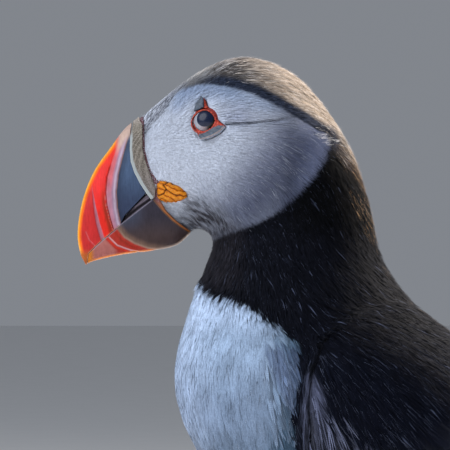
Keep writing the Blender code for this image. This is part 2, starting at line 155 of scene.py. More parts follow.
def ahead_of(y, z, line):
    """Distance past an open line that runs down or back: above 0 on its bill-tip side."""
    line = np.asarray(line, float)
    best, signed = np.full(np.shape(y), 1e9), np.zeros(np.shape(y))
    for a, b in zip(line[:-1], line[1:], strict=True):
        d = b - a
        t = np.clip(((y - a[0]) * d[0] + (z - a[1]) * d[1]) / (d @ d), 0, 1)
        gap = np.hypot(y - a[0] - t * d[0], z - a[1] - t * d[1])
        cross = d[0] * (z - a[1]) - d[1] * (y - a[0])
        near = gap < best - 1e-9
        best = np.where(near, gap, best)
        signed = np.where(near, np.where(cross < 0, gap, -gap), signed)
    return signed


def bump(low, high, value, edge):
    """1 between low and high, fading out over the edge on both sides."""
    return smooth(low - edge, low + edge, value) * smooth(high + edge, high - edge, value)


def wander(points, size, seed):
    """A smooth random value, about -1 to 1, that changes over the given size in mm."""
    rng = np.random.default_rng(seed)
    total = np.zeros(len(points))
    for _ in range(8):
        turn = unit(rng.normal(size=3))
        rate, start = math.tau / (size * rng.uniform(0.7, 1.5)), rng.uniform(0, math.tau)
        total += np.sin(points @ turn * rate + start)
    return total / 2.8


# ---------------------------------------------------------------------------------------
# Making objects


def triangles_mesh(name, points, faces):
    """A mesh from arrays of points in mm and triangles."""
    mesh = bpy.data.meshes.new(name)
    mesh.vertices.add(len(points))
    mesh.vertices.foreach_set("co", (points * MM).astype(np.float32).ravel())
    mesh.loops.add(len(faces) * 3)
    mesh.loops.foreach_set("vertex_index", faces.astype(np.int32).ravel())
    mesh.polygons.add(len(faces))
    mesh.polygons.foreach_set("loop_start", np.arange(0, len(faces) * 3, 3, dtype=np.int32))
    mesh.update(calc_edges=True)
    return mesh


def paint(mesh, colours):
    """Stores a colour at each point of a mesh."""
    layer = mesh.color_attributes.new("plumage", "FLOAT_COLOR", "POINT")
    rgba = np.ones((len(mesh.vertices), 4), np.float32)
    rgba[:, :3] = colours
    layer.data.foreach_set("color", rgba.ravel())


def number(mesh, values, name):
    """Stores a number at each point of a mesh."""
    layer = mesh.attributes.new(name, "FLOAT", "POINT")
    layer.data.foreach_set("value", np.asarray(values, np.float32))


def link(name, mesh, nodes=()):
    """A finished piece: at the origin, riding on the body, standing for its nodes."""
    mesh.name = name
    piece = bpy.data.objects.new(name, mesh)
    bpy.context.scene.collection.objects.link(piece)
    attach(piece, "root")
    if nodes:
        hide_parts(*nodes)
    return piece


def finished(name, mesh, colour, finish, nodes=()):
    """Colours a mesh, gives it its material and links it."""
    paint(mesh, colour)
    mesh.materials.append(finish)
    return link(name, mesh, nodes)


def joined_copy(nodes, swell=0.0):
    """One loose mesh of CAD nodes, merged, each swelled a little so that the cuts close."""
    whole = bmesh.new()
    for name in nodes:
        shape = bmesh.new()
        shape.from_mesh(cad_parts[name].data)
        bmesh.ops.remove_doubles(shape, verts=shape.verts, dist=1e-6)
        shape.normal_update()
        for v in shape.verts:
            v.co += v.normal * swell * MM
        part = bpy.data.meshes.new("part")
        shape.to_mesh(part)
        shape.free()
        whole.from_mesh(part)
        bpy.data.meshes.remove(part)
    mesh = bpy.data.meshes.new("joined")
    whole.to_mesh(mesh)
    whole.free()
    return mesh


def made_by(mesh, modify):
    """A new mesh from the modifiers that a function puts on an object of the mesh."""
    temp = bpy.data.objects.new("temp", mesh)
    bpy.context.scene.collection.objects.link(temp)
    modify(temp)
    bpy.context.view_layer.update()
    made = bpy.data.meshes.new_from_object(temp.evaluated_get(bpy.context.evaluated_depsgraph_get()))
    bpy.data.objects.remove(temp)
    bpy.data.meshes.remove(mesh)
    return made


def remeshed(mesh, voxel):
    """A closed even mesh of the same form, with faces about one voxel wide."""

    def modify(temp):
        modifier = temp.modifiers.new("Remesh", "REMESH")
        modifier.mode = "VOXEL"
        modifier.voxel_size = voxel * MM

    made = made_by(mesh, modify)
    made.materials.clear()
    made.shade_smooth()
    return made


def closed_mesh(name, shape):
    """A mesh from a closed form whose faces are turned outwards."""
    bmesh.ops.recalc_face_normals(shape, faces=shape.faces)
    mesh = bpy.data.meshes.new(name)
    shape.to_mesh(mesh)
    shape.free()
    return mesh


def prism(outline, reach=30.0):
    """A closed block on an outline in (y, z), reaching out on both sides."""
    shape = bmesh.new()
    near, far = ([shape.verts.new((x * MM, y * MM, z * MM)) for y, z in outline] for x in (-reach, reach))
    shape.faces.new(near)
    shape.faces.new(far)
    for k in range(len(near)):
        j = (k + 1) % len(near)
        shape.faces.new((near[k], near[j], far[j], far[k]))
    return closed_mesh("block", shape)


def moved(line, back, down=0.0):
    """A line of points moved back and down."""
    return [(y + back, z - down) for y, z in line]


def cut_away(mesh, outlines, operation="DIFFERENCE"):
    """A mesh less the blocks on some outlines, or shared with them."""
    others = []

    def modify(temp):
        for outline in outlines:
            other = bpy.data.objects.new("block", prism(outline))
            bpy.context.scene.collection.objects.link(other)
            others.append(other)
            modifier = temp.modifiers.new("Cut", "BOOLEAN")
            modifier.operation = operation
            modifier.object = other
            modifier.solver = "EXACT"

    made = made_by(mesh, modify)
    for other in others:
        block = other.data
        bpy.data.objects.remove(other)
        bpy.data.meshes.remove(block)
    return made


def fine(mesh, voxel, rounds=2):
    """A fine smooth form of a hard mesh, and its points."""
    made = remeshed(mesh, voxel)
    points = relax(points_of(made), edges_of(made), rounds)
    set_points(made, points)
    return made, points


def displaced(mesh, points, height):
    """Moves points out along their normals by a height in mm at each."""
    set_points(mesh, points + normals_of(mesh) * height[:, None])


def net(rows, sides, closed=False):
    """Triangles between rings of points, the last ring joined to the first where closed."""
    faces = []
    for r in range(rows if closed else rows - 1):
        for k in range(sides):
            i, j = r * sides + k, r * sides + (k + 1) % sides
            m, n = ((q + sides) % (rows * sides) for q in (i, j))
            faces += [(i, m, j), (j, m, n)]
    return faces


# ---------------------------------------------------------------------------------------
# Materials


def node(tree, kind, values=None, to=None, **settings):
    """Adds one node, fills its inputs by name or index, and links its first output to a socket.

    An input takes a constant, an output, or a node for its first output.
    """
    made = tree.nodes.new(kind)
    for key, value in settings.items():
        setattr(made, key, value)
    for key, value in (values or {}).items():
        if isinstance(value, bpy.types.Node):
            value = value.outputs[0]
        if isinstance(value, bpy.types.NodeSocket):
            tree.links.new(value, made.inputs[key])
        else:
            made.inputs[key].default_value = value
    if to is not None:
        tree.links.new(made.outputs[0], to)
    return made


def material(name, roughness, values):
    """A Principled material with fixed values on its sockets, its node tree and its shader."""
    made = bpy.data.materials.new(name)
    made.use_nodes = True
    shader = made.node_tree.nodes["Principled BSDF"]
    for key, value in {"Roughness": roughness, **values}.items():
        shader.inputs[key].default_value = value
    return made, made.node_tree, shader


def scale_of(size):
    """The scale of a texture whose pattern repeats about every so many mm."""
    return 1 / (size * MM)


def own_inputs(tree):
    """The colour stored on the mesh, and the piece's own coordinates."""
    tint = node(tree, "ShaderNodeAttribute", attribute_name="plumage")
    return tint.outputs["Color"], node(tree, "ShaderNodeTexCoord").outputs["Object"]


def tone(tree, shader, colour, value, span, shades):
    """Base colour: a colour made darker and paler where a pattern runs over a span of values."""
    (low, high), (dark, pale) = span, shades
    ends = {"Value": value, "From Min": low, "From Max": high, "To Min": dark, "To Max": pale}
    shade = node(tree, "ShaderNodeMapRange", ends)
    to = shader.inputs["Base Color"]
    node(tree, "ShaderNodeVectorMath", {0: colour, 1: shade}, to, operation="MULTIPLY")


def waves(tree, along, bend, spacing):
    """Even lines across a stored number, so many mm apart and a little bent."""
    bent = node(tree, "ShaderNodeMath", {0: along, 1: bend}, operation="ADD")
    phase = node(tree, "ShaderNodeMath", {0: bent, 1: math.tau / spacing}, operation="MULTIPLY")
    return node(tree, "ShaderNodeMath", {0: phase}, operation="SINE")


def plumage_material():
    """Contour feathers: soft and barely shiny keratin, whose fine barbs break up its colour."""
    values = {"Specular IOR Level": 0.04, "Sheen Weight": 0.02, "Sheen Roughness": 0.5}
    made, tree, shader = material("Contour feathers, soft keratin", 0.75, values)
    tint, place = own_inputs(tree)
    # barbs about 0.5 mm across
    barbs = node(tree, "ShaderNodeTexNoise", {"Vector": place, "Scale": scale_of(0.5), "Detail": 3.0})
    tone(tree, shader, tint, barbs, (0.3, 0.7), (0.82, 1.12))
    relief = {"Height": barbs, "Strength": 0.15, "Distance": 0.3 * MM}
    node(tree, "ShaderNodeBump", relief, shader.inputs["Normal"])
    return made


def vane_material():
    """Flight and body vanes: barbs about 0.6 mm apart, coarser than real so that they show."""
    made, tree, shader = material("Feather vanes, barbed keratin", 0.66, {"Specular IOR Level": 0.07})
    tint, place = own_inputs(tree)
    barb = node(tree, "ShaderNodeAttribute", attribute_name="barb").outputs["Fac"]
    noise = node(tree, "ShaderNodeTexNoise", {"Vector": place, "Scale": scale_of(1.2), "Detail": 2.0})
    bend = node(tree, "ShaderNodeMath", {0: noise, 1: 0.5}, operation="MULTIPLY")
    wave = waves(tree, barb, bend, 0.6)
    tone(tree, shader, tint, wave, (-1.0, 1.0), (0.75, 1.2))
    relief = {"Height": wave, "Strength": 0.35, "Distance": 0.08 * MM}
    node(tree, "ShaderNodeBump", relief, shader.inputs["Normal"])
    return made


def horn_material(name, roughness, streak, strength, coat=0.0, specular=0.5):
    """Living horn: waxy, in thin growth layers with fine scratches, whose width is the streak."""
    values = {"Specular IOR Level": specular, "Coat Weight": coat, "Coat Roughness": 0.25}
    made, tree, shader = material(name, roughness, values)
    tint, place = own_inputs(tree)
    drawn_out = node(tree, "ShaderNodeMapping", {"Vector": place, "Scale": (0.3, 1.0, 0.22)})
    values = {"Vector": drawn_out, "Scale": scale_of(streak), "Detail": 4.0}
    fibres = node(tree, "ShaderNodeTexNoise", values)
    cloud = node(tree, "ShaderNodeTexNoise", {"Vector": place, "Scale": scale_of(3.0), "Detail": 2.0})
    total = node(tree, "ShaderNodeMath", {0: fibres, 1: cloud}, operation="ADD")
    tone(tree, shader, tint, total, (0.7, 1.3), (0.84, 1.12))
    gloss = {"From Min": 0.3, "From Max": 0.7, "To Min": roughness - 0.08, "To Max": roughness + 0.12}
    node(tree, "ShaderNodeMapRange", {"Value": fibres, **gloss}, shader.inputs["Roughness"])
    relief = {"Height": fibres, "Strength": strength, "Distance": 0.2 * MM}
    layers = node(tree, "ShaderNodeBump", relief)
    # growth lines follow the edge of the base plate, about 0.7 mm apart
    growth = node(tree, "ShaderNodeAttribute", attribute_name="growth").outputs["Fac"]
    wave = waves(tree, growth, cloud, 0.7)
    relief = {"Height": wave, "Strength": 0.05, "Distance": 0.1 * MM, "Normal": layers}
    node(tree, "ShaderNodeBump", relief, shader.inputs["Normal"])
    return made


def dotted_material(name, roughness, specular, gap, randomness, span, dot, strength, depth):
    """Horn or skin with dots, a gap apart in mm and raised or sunk, where the mesh says so."""
    made, tree, shader = material(name, roughness, {"Specular IOR Level": specular})
    tint, place = own_inputs(tree)
    values = {"Vector": place, "Scale": scale_of(gap), "Randomness": randomness}
    cells = node(tree, "ShaderNodeTexVoronoi", values)
    ends = {"From Min": span[0], "From Max": span[1], "To Min": 1.0, "To Max": 0.0}
    dots = node(tree, "ShaderNodeMapRange", {"Value": cells, **ends})
    where = node(tree, "ShaderNodeAttribute", attribute_name="dotted").outputs["Fac"]
    dots = node(tree, "ShaderNodeMath", {0: dots, 1: where}, operation="MULTIPLY")
    values = {"Factor": dots, "A": tint, "B": (*linear(dot), 1)}
    colour = node(tree, "ShaderNodeMix", values, data_type="RGBA").outputs["Result"]
    tree.links.new(colour, shader.inputs["Base Color"])
    relief = {"Height": dots, "Strength": strength, "Distance": depth * MM}
    node(tree, "ShaderNodeBump", relief, shader.inputs["Normal"])
    return made


def fleshy_material(name, roughness, specular, glow, wart, shades, strength, depth):
    """Bare living skin: light passes a little way into it, and small warts cover it.

    Glow is how much of the light does so, how far for red, green and blue, and that reach in mm.
    """
    weight, radius, reach = glow
    values = {
        "Specular IOR Level": specular,
        "Subsurface Weight": weight,
        "Subsurface Radius": radius,
        "Subsurface Scale": reach * MM,
    }
    made, tree, shader = material(name, roughness, values)
    tint, place = own_inputs(tree)
    warts = node(tree, "ShaderNodeTexVoronoi", {"Vector": place, "Scale": scale_of(wart)})
    tone(tree, shader, tint, warts, (0.0, 0.7), shades)
    relief = {"Height": warts, "Strength": strength, "Distance": depth * MM}
    node(tree, "ShaderNodeBump", relief, shader.inputs["Normal"])
    return made


def eye_material():
    """A living eye: wet and clear over a finely fibred iris."""
    values = {"Specular IOR Level": 0.1, "Coat Weight": 0.6, "Coat Roughness": 0.2, "Coat IOR": 1.38}
    made, tree, shader = material("Living eye, wet and clear", 0.3, values)
    tint, place = own_inputs(tree)
    fibres = node(tree, "ShaderNodeTexNoise", {"Vector": place, "Scale": scale_of(0.25), "Detail": 3.0})
    tone(tree, shader, tint, fibres, (0.0, 1.0), (0.8, 1.2))
    return made


def scale_material():
    """Leg skin: scutes over legs and toes, fine grains on the webs, dark lines between them."""
    made, tree, shader = material("Leg skin, small tough scales", 0.42, {"Specular IOR Level": 0.45})
    tint, place = own_inputs(tree)
    # scutes about 1.5 mm across, a little wider than long
    flat = node(tree, "ShaderNodeMapping", {"Vector": place, "Scale": (0.75, 0.9, 1.1)})
    values = {"Vector": flat, "Scale": scale_of(1.5), "Randomness": 0.75}
    lines = node(tree, "ShaderNodeTexVoronoi", values, feature="DISTANCE_TO_EDGE")
    cells = node(tree, "ShaderNodeTexVoronoi", values).outputs["Color"]
    grains = node(tree, "ShaderNodeTexNoise", {"Vector": place, "Scale": scale_of(0.4), "Detail": 3.0})
    seam = node(tree, "ShaderNodeMapRange", {"Value": lines, "From Max": 0.13})
    one_scute = node(tree, "ShaderNodeSeparateColor", {"Color": cells})
    scute = node(tree, "ShaderNodeMapRange", {"Value": one_scute, "To Min": 0.82, "To Max": 1.12})
    ends = {"From Min": 0.3, "From Max": 0.7, "To Min": 0.9, "To Max": 1.08}
    grain = node(tree, "ShaderNodeMapRange", {"Value": grains, **ends})
    both = node(tree, "ShaderNodeMath", {0: scute, 1: grain}, operation="MULTIPLY")
    tinted = node(tree, "ShaderNodeVectorMath", {0: tint, 1: both}, operation="MULTIPLY")
    tone(tree, shader, tinted, seam, (0.0, 1.0), (0.55, 1.0))
    relief = {"Height": seam, "Strength": 0.7, "Distance": 0.2 * MM}
    scutes = node(tree, "ShaderNodeBump", relief)
    relief = {"Height": grains, "Strength": 0.3, "Distance": 0.1 * MM, "Normal": scutes}
    node(tree, "ShaderNodeBump", relief, shader.inputs["Normal"])
    return made


def floor_material():
    """A matt painted studio floor, faintly clouded."""
    made, tree, shader = material("Matt studio floor", 0.9, {})
    place = node(tree, "ShaderNodeTexCoord").outputs["Object"]
    noise = node(tree, "ShaderNodeTexNoise", {"Vector": place, "Scale": 30.0, "Detail": 4.0})
    ends = {"Value": noise, "To Min": 0.78, "To Max": 0.84}
    node(tree, "ShaderNodeMapRange", ends, shader.inputs["Base Color"])
    return made


# ---------------------------------------------------------------------------------------
# Markings, as outlines on the bird's side in (y, z)

CHEEK = (
    (-81.5, 185.7), (-79.4, 188.7), (-76.4, 191.7), (-74.9, 193.8), (-73.4, 196.5), (-71.9, 198.3),
    (-70.4, 199.5), (-67.4, 200.6), (-64.4, 201.1), (-61.4, 201.2), (-55.4, 200.3), (-49.4, 198.6),
    (-43.4, 195.6), (-37.4, 192.2), (-31.4, 188.7), (-29.5, 187.6), (-26.9, 186.8), (-26.0, 184.0),
    (-27.8, 178.9), (-30.7, 174.2), (-35.2, 169.0), (-41.3, 163.6), (-47.5, 159.9), (-53.9, 157.5),
    (-60.5, 154.9), (-66.0, 152.0), (-74.0, 152.0), (-90.0, 160.0), (-90.0, 180.0),
)
CHIN = (
    (-68.6, 167.6), (-60.0, 166.2), (-55.5, 161.5), (-51.5, 158.6), (-58.0, 154.5), (-66.0, 152.0),
    (-74.0, 152.0), (-72.0, 160.0),
)
WHITE_FRONT = (
    (-80.0, 144.2), (-64.4, 143.8), (-62.9, 141.1), (-59.9, 138.9), (-53.9, 137.3), (-47.9, 134.2),
    (-41.9, 130.0), (-38.0, 126.6), (-36.2, 123.8), (-35.4, 115.8), (-36.2, 109.2), (-38.2, 103.2),
    (-37.6, 96.0), (-33.5, 86.0), (-22.0, 74.0), (-8.0, 65.0), (15.0, 55.0), (48.0, 43.0), (72.0, 35.5),
    (82.0, 30.5), (84.0, 0.0), (-80.0, 0.0),
)
# The bill's root, where horn and bare skin end.
FEATHER_LINE = (
    (-84.0, 194.0), (-81.9, 189.8), (-81.8, 182.0), (-80.9, 178.2), (-79.4, 174.3), (-77.9, 170.6),
    (-78.2, 166.6), (-75.8, 163.7), (-72.8, 160.7), (-70.1, 158.6), (-66.6, 156.4),
)
# Where the feathers start, a little behind that line and more so above the gape.
FEATHERS_START = (
    (-83.9, 195.0), (-81.8, 190.4), (-81.6, 186.0), (-81.5, 182.0), (-80.6, 178.2), (-79.6, 175.4),
    (-78.2, 173.3), (-76.6, 171.9), (-76.9, 166.6), (-75.0, 163.6), (-72.0, 160.6), (-69.3, 158.5),
    (-66.2, 156.6), (-66.0, 150.0),
)
# The fold of feathers behind the eye.
CREASE = ((-56.6, 189.3), (-50.4, 189.6), (-43.7, 190.2), (-38.1, 191.4), (-35.0, 192.4))
ROSETTE = (
    (-4.2, 2.7), (-3.6, 3.3), (-2.1, 3.3), (0.0, 2.7), (2.4, 1.5), (4.2, 0.0), (4.8, -0.9),
    (4.5, -1.8), (3.3, -2.6), (0.9, -3.2), (-2.1, -3.2), (-4.2, -2.4), (-5.4, -1.5),
)
ROSETTE = tuple((GAPE[0] + y, GAPE[1] + z) for y, z in ROSETTE)
# Grey plumes beside the wing's bend, and the shaded flap of white feathers ahead of them.
GREY_FOLD = (
    (-32.4, 118.4), (-30.6, 115.6), (-28.8, 112.0), (-27.9, 108.0), (-27.8, 104.6), (-26.0, 98.8),
    (-22.5, 90.0), (-20.0, 82.0), (-29.0, 82.0), (-34.0, 90.0), (-36.0, 98.8), (-34.8, 105.2),
    (-33.9, 110.8), (-33.4, 115.2),
)
FRONT_FOLD = (
    (-46.0, 123.9), (-37.0, 125.6), (-34.4, 121.8), (-34.2, 116.8), (-34.8, 111.9), (-36.5, 107.0),
    (-41.0, 109.0), (-42.5, 116.0),
)
NAPE_TUFT = ((-33.0, 188.8), (-28.5, 189.4), (-24.6, 187.0), (-23.8, 183.6), (-27.0, 182.8), (-30.5, 185.2))
# where golden strokes on the nape are a painted highlight of the rim light
NAPE_LIT_STROKES = ((-21.5, 171.5), (-16.0, 171.5), (-12.5, 163.0), (-14.0, 159.0), (-18.5, 162.0))

# painted shade: WHITE and FRONT_WHITE are grey-blue and darker than white feathers, as in cool shade
WHITE, FACE_GREY, CHIN_GREY = linear("c3cbdb"), linear("545b70"), linear("2b282e")
CAP_SIDE, CAP_BROWN, CAP_PALE = linear("2e3546"), linear("534f4e"), linear("e2d6ca")
# the forehead's silver is partly its own grey, partly a painted highlight
FOREHEAD_GREY = linear("dbe1f0")
NECK_BLACK, BACK_BLACK, NAPE_BROWN = linear("0a0c14"), linear("070a15"), linear("3c322b")
FRONT_WHITE, BELLY_WHITE, FOLD_GREY = linear("a9bcd8"), linear("a09fa8"), linear("4d5268")


def nape_zone(y, z):
    """Where the pale crown runs down the back of the head, in a tongue that narrows."""
    slope = np.where(z > 181.8, 0.25, 0.8)
    behind = smooth(-0.8, 1.4, y + 25.1 - slope * (181.8 - z))
    return np.maximum(smooth(186, 191, z), behind * (z > 160))


def dark_plumage(p, y, z, past_cheek):
    """Black back and neck, brown crown, silver forehead, with painted shadow low behind the cheek and
    painted highlights on the hind crown, the forehead and the nape's ridge. Past_cheek is the way out of
    the cheek.
    """
    dark = mix(BACK_BLACK, NECK_BLACK, smooth(112, 140, z))
    # painted shadow: near black on the upper neck behind the cheek
    dark = mix(dark, "040508", smooth(150, 164, z) * smooth(-46, -32, y))
    dark = mix(dark, "1f1e24", smooth(-48, -57, y) * smooth(170, 162, z) * smooth(138, 146, z))
    # the crown is darkest beside the cheek
    high = smooth(182, 190, z)
    crown = mix(CAP_SIDE, CAP_BROWN, smooth(1.9, 3.6, past_cheek))
    # painted highlight of the rim light on the hind crown, and painted shade in gaps between its strokes
    crown = mix(crown, "b8a898", smooth(2.2, 4.0, past_cheek) * smooth(-54, -37, y) * high)
    gaps = np.clip(0.5 * wander(p * (1, 0.5, 0.5), 1.3, 44) + 0.1, 0, 0.7) * smooth(3.0, 5.0, past_cheek)
    crown = mix(crown, "4e443d", gaps * high)
    crown = mix(crown, "2a211d", smooth(188, 176, z))
    dark = mix(dark, crown, nape_zone(y, z))
    # silver forehead: partly its own grey, partly a painted highlight of the light from the front
    silver = smooth(-58, -69, y) * smooth(184, 188, z)
    beside = smooth(3.6, 0.8, past_cheek) * (0.55 + 0.4 * smooth(-70, -60, y))
    forehead = mix(FOREHEAD_GREY, "d0cdca", smooth(-74, -67, y))
    dark = mix(dark, forehead, silver * (1 - beside))
    # brown along the ridge of the nape, and faintly on the back: partly brownish plumage, partly a painted
    # highlight where the rim light grazes the ridge
    ridge = smooth(11, 0, np.abs(p[:, 0]))
    nape = 0.5 * smooth(172, 186, z) * smooth(-45, -25, y)
    back = 0.06 * smooth(138, 124, z) * smooth(90, 104, z)
    return mix(dark, NAPE_BROWN, ridge * (nape + back))


def face_plumage(p, y, z, inward):
    """White cheek that turns ashy over and behind the eye, and from the chin up to the nape, partly its own
    grey and partly painted shade; painted light pales its rear edge.
    """
    # grey towards the rear and low down: partly ash-grey plumage, partly painted shade
    grey = smooth(2.0, 26.0, (y + 63.0) * 0.62 + (180.0 - z) * 0.72)
    grey = np.clip(0.80 * grey + 0.5 * smooth(-46, -31, y), 0, 1)
    face = mix(WHITE, FACE_GREY, grey)
    chin = within(y, z, CHIN)
    # painted shade along the brow, behind the eye and low on the rear of the cheek
    brow = smooth(7.5, 1.0, inward) * smooth(190.5, 195, z) * smooth(-76, -70, y)
    brow = brow * (1 - 0.35 * smooth(-57, -49, y))
    behind_eye = np.exp(-(((y + 53.8) / 5.0) ** 2) - ((z - 191.6) / 3.8) ** 2)
    slant = y - 0.65 * (z - 184.8)
    rear_shade = smooth(-57.8, -36.8, slant) * (1 - 0.7 * smooth(-2.0, 3.0, chin))
    rear_shade = rear_shade * (1 - 0.35 * smooth(6.0, 0.5, inward)) * (1 - 0.3 * smooth(-36, -28, slant))
    rear_shade = np.maximum(rear_shade, 0.3 * smooth(178, 170, z) * smooth(-70, -62, y))
    shade = np.outer(brow, (0.41, 0.32, 0.18)) + np.outer(behind_eye, (0.36, 0.35, 0.28))
    face = face * (1 - shade) * (1 - np.outer(rear_shade, (0.66, 0.65, 0.57)))
    # painted light: the cheek made paler towards its rear edge
    face = face * (1 + 1.35 * smooth(-38.5, -31, y))[:, None]
    # dark grey chin patch: partly grey plumage, partly painted shade
    mottle = 0.72 + 0.6 * wander(p, 1.5, 14) + 0.3 * wander(p, 4.0, 15)
    return mix(face, CHIN_GREY, np.clip(mottle, 0.2, 1.0) * smooth(-2.8, 3.0, chin))


def front_plumage(p, y, z):
    """White breast and belly with painted shade: grey-blue, darker towards the wing, lower on the breast
    and on the flap, paler on the belly.
    """
    # painted shade: grey-blue, deeper lower on the breast
    front = mix(FRONT_WHITE, "8c9db8", smooth(130, 104, z))
    front = mix(front, BELLY_WHITE, smooth(100, 64, z))
    front = front * (1 + 0.09 * wander(p, 9.0, 61) + 0.10 * wander(p * (1, 1, 0.3), 2.6, 62))[:, None]
    # painted shade towards the wing and low on the front
    side = 0.05 + 0.34 * smooth(-70, -56, y) + 0.10 * smooth(-50, -38, y)
    side = side - 0.27 * smooth(126, 135, z) + 0.18 * smooth(102, 90, z)
    side = side + 0.34 * smooth(-46, -38, y) * smooth(131, 124, z) * smooth(98, 110, z) + 0.05
    side = np.clip(side + 0.38 * smooth(-47, -36, y) * smooth(108, 98, z), 0, 0.85)
    front = front * (1 - np.outer(side * smooth(60, 92, z), (1.0, 0.93, 0.9)))
    # painted shade on the flap at the rear of the white front
    return mix(front, "4f5d78", 0.85 * smooth(-1.0, 2.0, within(y, z, FRONT_FOLD)))


def markings(p, ragged=0.0, seed=1):
    """The plumage colour at points in mm, with its painted light and shade. Ragged is how far, in mm, a
    border wanders.
    """
    y, z = p[:, 1].copy(), p[:, 2].copy()
    if np.any(ragged):
        y = y + ragged * wander(p, 1.6, seed)
        z = z + ragged * wander(p, 1.6, seed + 1)
    inward = within(y, z, CHEEK)
    colour = mix(dark_plumage(p, y, z, -inward), face_plumage(p, y, z, inward), smooth(-0.3, 0.3, inward))
    white = smooth(-0.3, 0.3, within(y, z, WHITE_FRONT)) * (z < FRONT_TOP)
    colour = mix(colour, front_plumage(p, y, z), white)
    fold = smooth(-0.4, 1.6, within(y, z, GREY_FOLD)) * smooth(86, 106, z)
    colour = mix(colour, mix("232632", FOLD_GREY, smooth(98, 110, z)), fold)
    # painted shade in the crease behind the eye
    gap, at = distance(p[:, 1], p[:, 2], CREASE)
    return mix(colour, "1c2029", smooth(0.45, 0.15, gap) * (1 - at) ** 0.4 * (np.abs(p[:, 0]) > 5))


# ---------------------------------------------------------------------------------------
# Lie of the plumage: how the feathers point, as (y, z, degrees up from straight back)

LIE = (
    (-80.9, 191.4, 42), (-74.9, 198.3, 34), (-64.4, 205.8, 16), (-50.9, 209.4, -6), (-37.4, 202.8, -30),
    (-28.4, 195.3, -44), (-22.9, 186.3, -58), (-18.4, 175.8, -68), (-13.4, 157.8, -72), (-7.4, 145.8, -58),
    (4.6, 130.8, -44), (-78.0, 189.0, 22), (-78.0, 181.0, -2), (-75.0, 175.8, -14), (-64.4, 199.2, 4),
    (-55.4, 198.3, -6), (-49.4, 190.8, -6), (-37.4, 189.3, -14), (-62.9, 181.8, -12), (-55.4, 175.8, -20),
    (-40.4, 178.8, -34), (-31.4, 181.8, -48), (-64.4, 166.8, -18), (-52.4, 163.8, -30), (-64.4, 160.8, -24),
    (-58.4, 157.2, -34), (-43.4, 166.8, -52), (-60.0, 151.0, -106), (-55.4, 148.8, -86),
    (-46.4, 151.8, -68), (-34.4, 160.8, -64), (-25.4, 166.8, -66), (-22.4, 148.8, -60), (-58.4, 139.8, -97),
    (-49.4, 133.8, -80), (-37.4, 127.8, -64), (-70.4, 127.8, -97), (-67.4, 112.8, -84), (-64.4, 97.8, -76),
    (-52.4, 121.8, -84), (-46.4, 100.8, -78), (-40.4, 115.0, -86), (-31.4, 100.8, -66), (-25.4, 127.8, -46),
    (-10.4, 127.8, -46), (4.6, 112.8, -48), (-4.4, 97.8, -50), (-25.4, 110.0, -54), (-45.0, 70.0, -55),
    (-20.0, 50.0, -34), (20.0, 38.0, -12), (60.0, 31.0, -10), (92.0, 30.0, -39), (20.0, 90.0, -46),
    (30.0, 60.0, -36), (70.0, 55.0, -46), (40.0, 103.0, -48), (75.0, 62.0, -52), (22.0, 36.0, -84),
)


def lie_of(p, n):
    """Unit directions along the surface for points p with normals n."""
    total = np.zeros((len(p), 3))
    for y, z, turn in LIE:
        reach = (p[:, 1] - y) ** 2 + (p[:, 2] - z) ** 2
        weight = 1.0 / (reach + 9.0) ** 1.7
        total[:, 1] += weight * math.cos(math.radians(turn))
        total[:, 2] += weight * math.sin(math.radians(turn))
    total = unit(total)
    rise = np.sum(total * n, 1)
    sideways = 0.3 * rise * n[:, 0] / np.maximum(n[:, 0] ** 2, 0.12)
    total[:, 0] -= sideways * smooth(0.1, 0.45, np.abs(n[:, 0]))
    return unit(total - n * np.sum(total * n, 1, keepdims=True))


def coat_depth(p):
    """How far the skin lies inside the outline of the plumage, in mm."""
    y, z = p[:, 1], p[:, 2]
    reach = np.hypot(y + 82, z - 178)
    depth = 0.5 + 0.7 * smooth(0, 25, reach) + 0.9 * smooth(30, 90, reach) + 0.5 * smooth(90, 150, reach)
    tail = smooth(76, 86, y)
    depth = depth + (0.36 - depth) * smooth(-1, 3, within(y, z, WHITE_FRONT)) * (z < FRONT_TOP)
    return depth * (1 - tail) + 0.35 * tail


# ---------------------------------------------------------------------------------------
# Skin

# The bare skin round the eye, back and up from the middle of the eye's opening.
ORBIT_OUTLINE = (
    (-1.2, 7.3), (-0.2, 6.4), (0.4, 4.8), (1.9, 3.1), (3.5, 1.1), (5.2, -0.5), (7.3, -1.9), (5.6, -4.0),
    (2.7, -5.6), (-0.8, -6.5), (-2.3, -4.2), (-3.6, -2.0), (-4.0, 0.4), (-3.4, 3.0), (-2.7, 5.3),
)
SET_LOWER = np.array([0, 0.14, -0.45])  # the soft parts sit this much off the middle of the solid eye
LID_MIDDLE = (-0.17, -0.68)
OPENING = 3.25  # how wide the eye is open, from its middle


class EyePlace:
    """Axes on the side of the head at the eye: back along it, up along it and out of it."""

    def __init__(self, name, side):
        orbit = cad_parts[f"orbit_{name}"].data
        flat = max(orbit.polygons, key=lambda f: f.area * (f.normal.x * side > 0.5))
        self.out = unit(np.array(flat.normal, float))
        self.back = unit(np.cross([0, 0, 1], self.out)) * side
        self.up = unit(np.cross(self.out, self.back)) * side
        ball = points_of(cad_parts[f"eye_{name}"].data)
        self.ball = (ball.max(0) + ball.min(0)) / 2 + SET_LOWER
        self.radius = 4.6
        self.face = self.ball + self.out * math.sqrt(self.radius**2 - OPENING**2)

    def local(self, p):
        """Back, up and out from the middle of the eye's opening."""
        q = p - self.face
        return q @ self.back, q @ self.up, q @ self.out

    def mesh(self, name, local, faces, middle):
        """A mesh whose points are given back, up and out from a middle."""
        world = middle + local[:, :1] * self.back + local[:, 1:2] * self.up + local[:, 2:] * self.out
        faces = np.array(faces)
        if np.dot(np.cross(self.back, self.up), self.out) < 0:
            faces = faces[:, ::-1]
        made = triangles_mesh(name, world, faces)
        made.shade_smooth()
        return made


PLACES = {name: EyePlace(name, side) for name, side in SIDES}


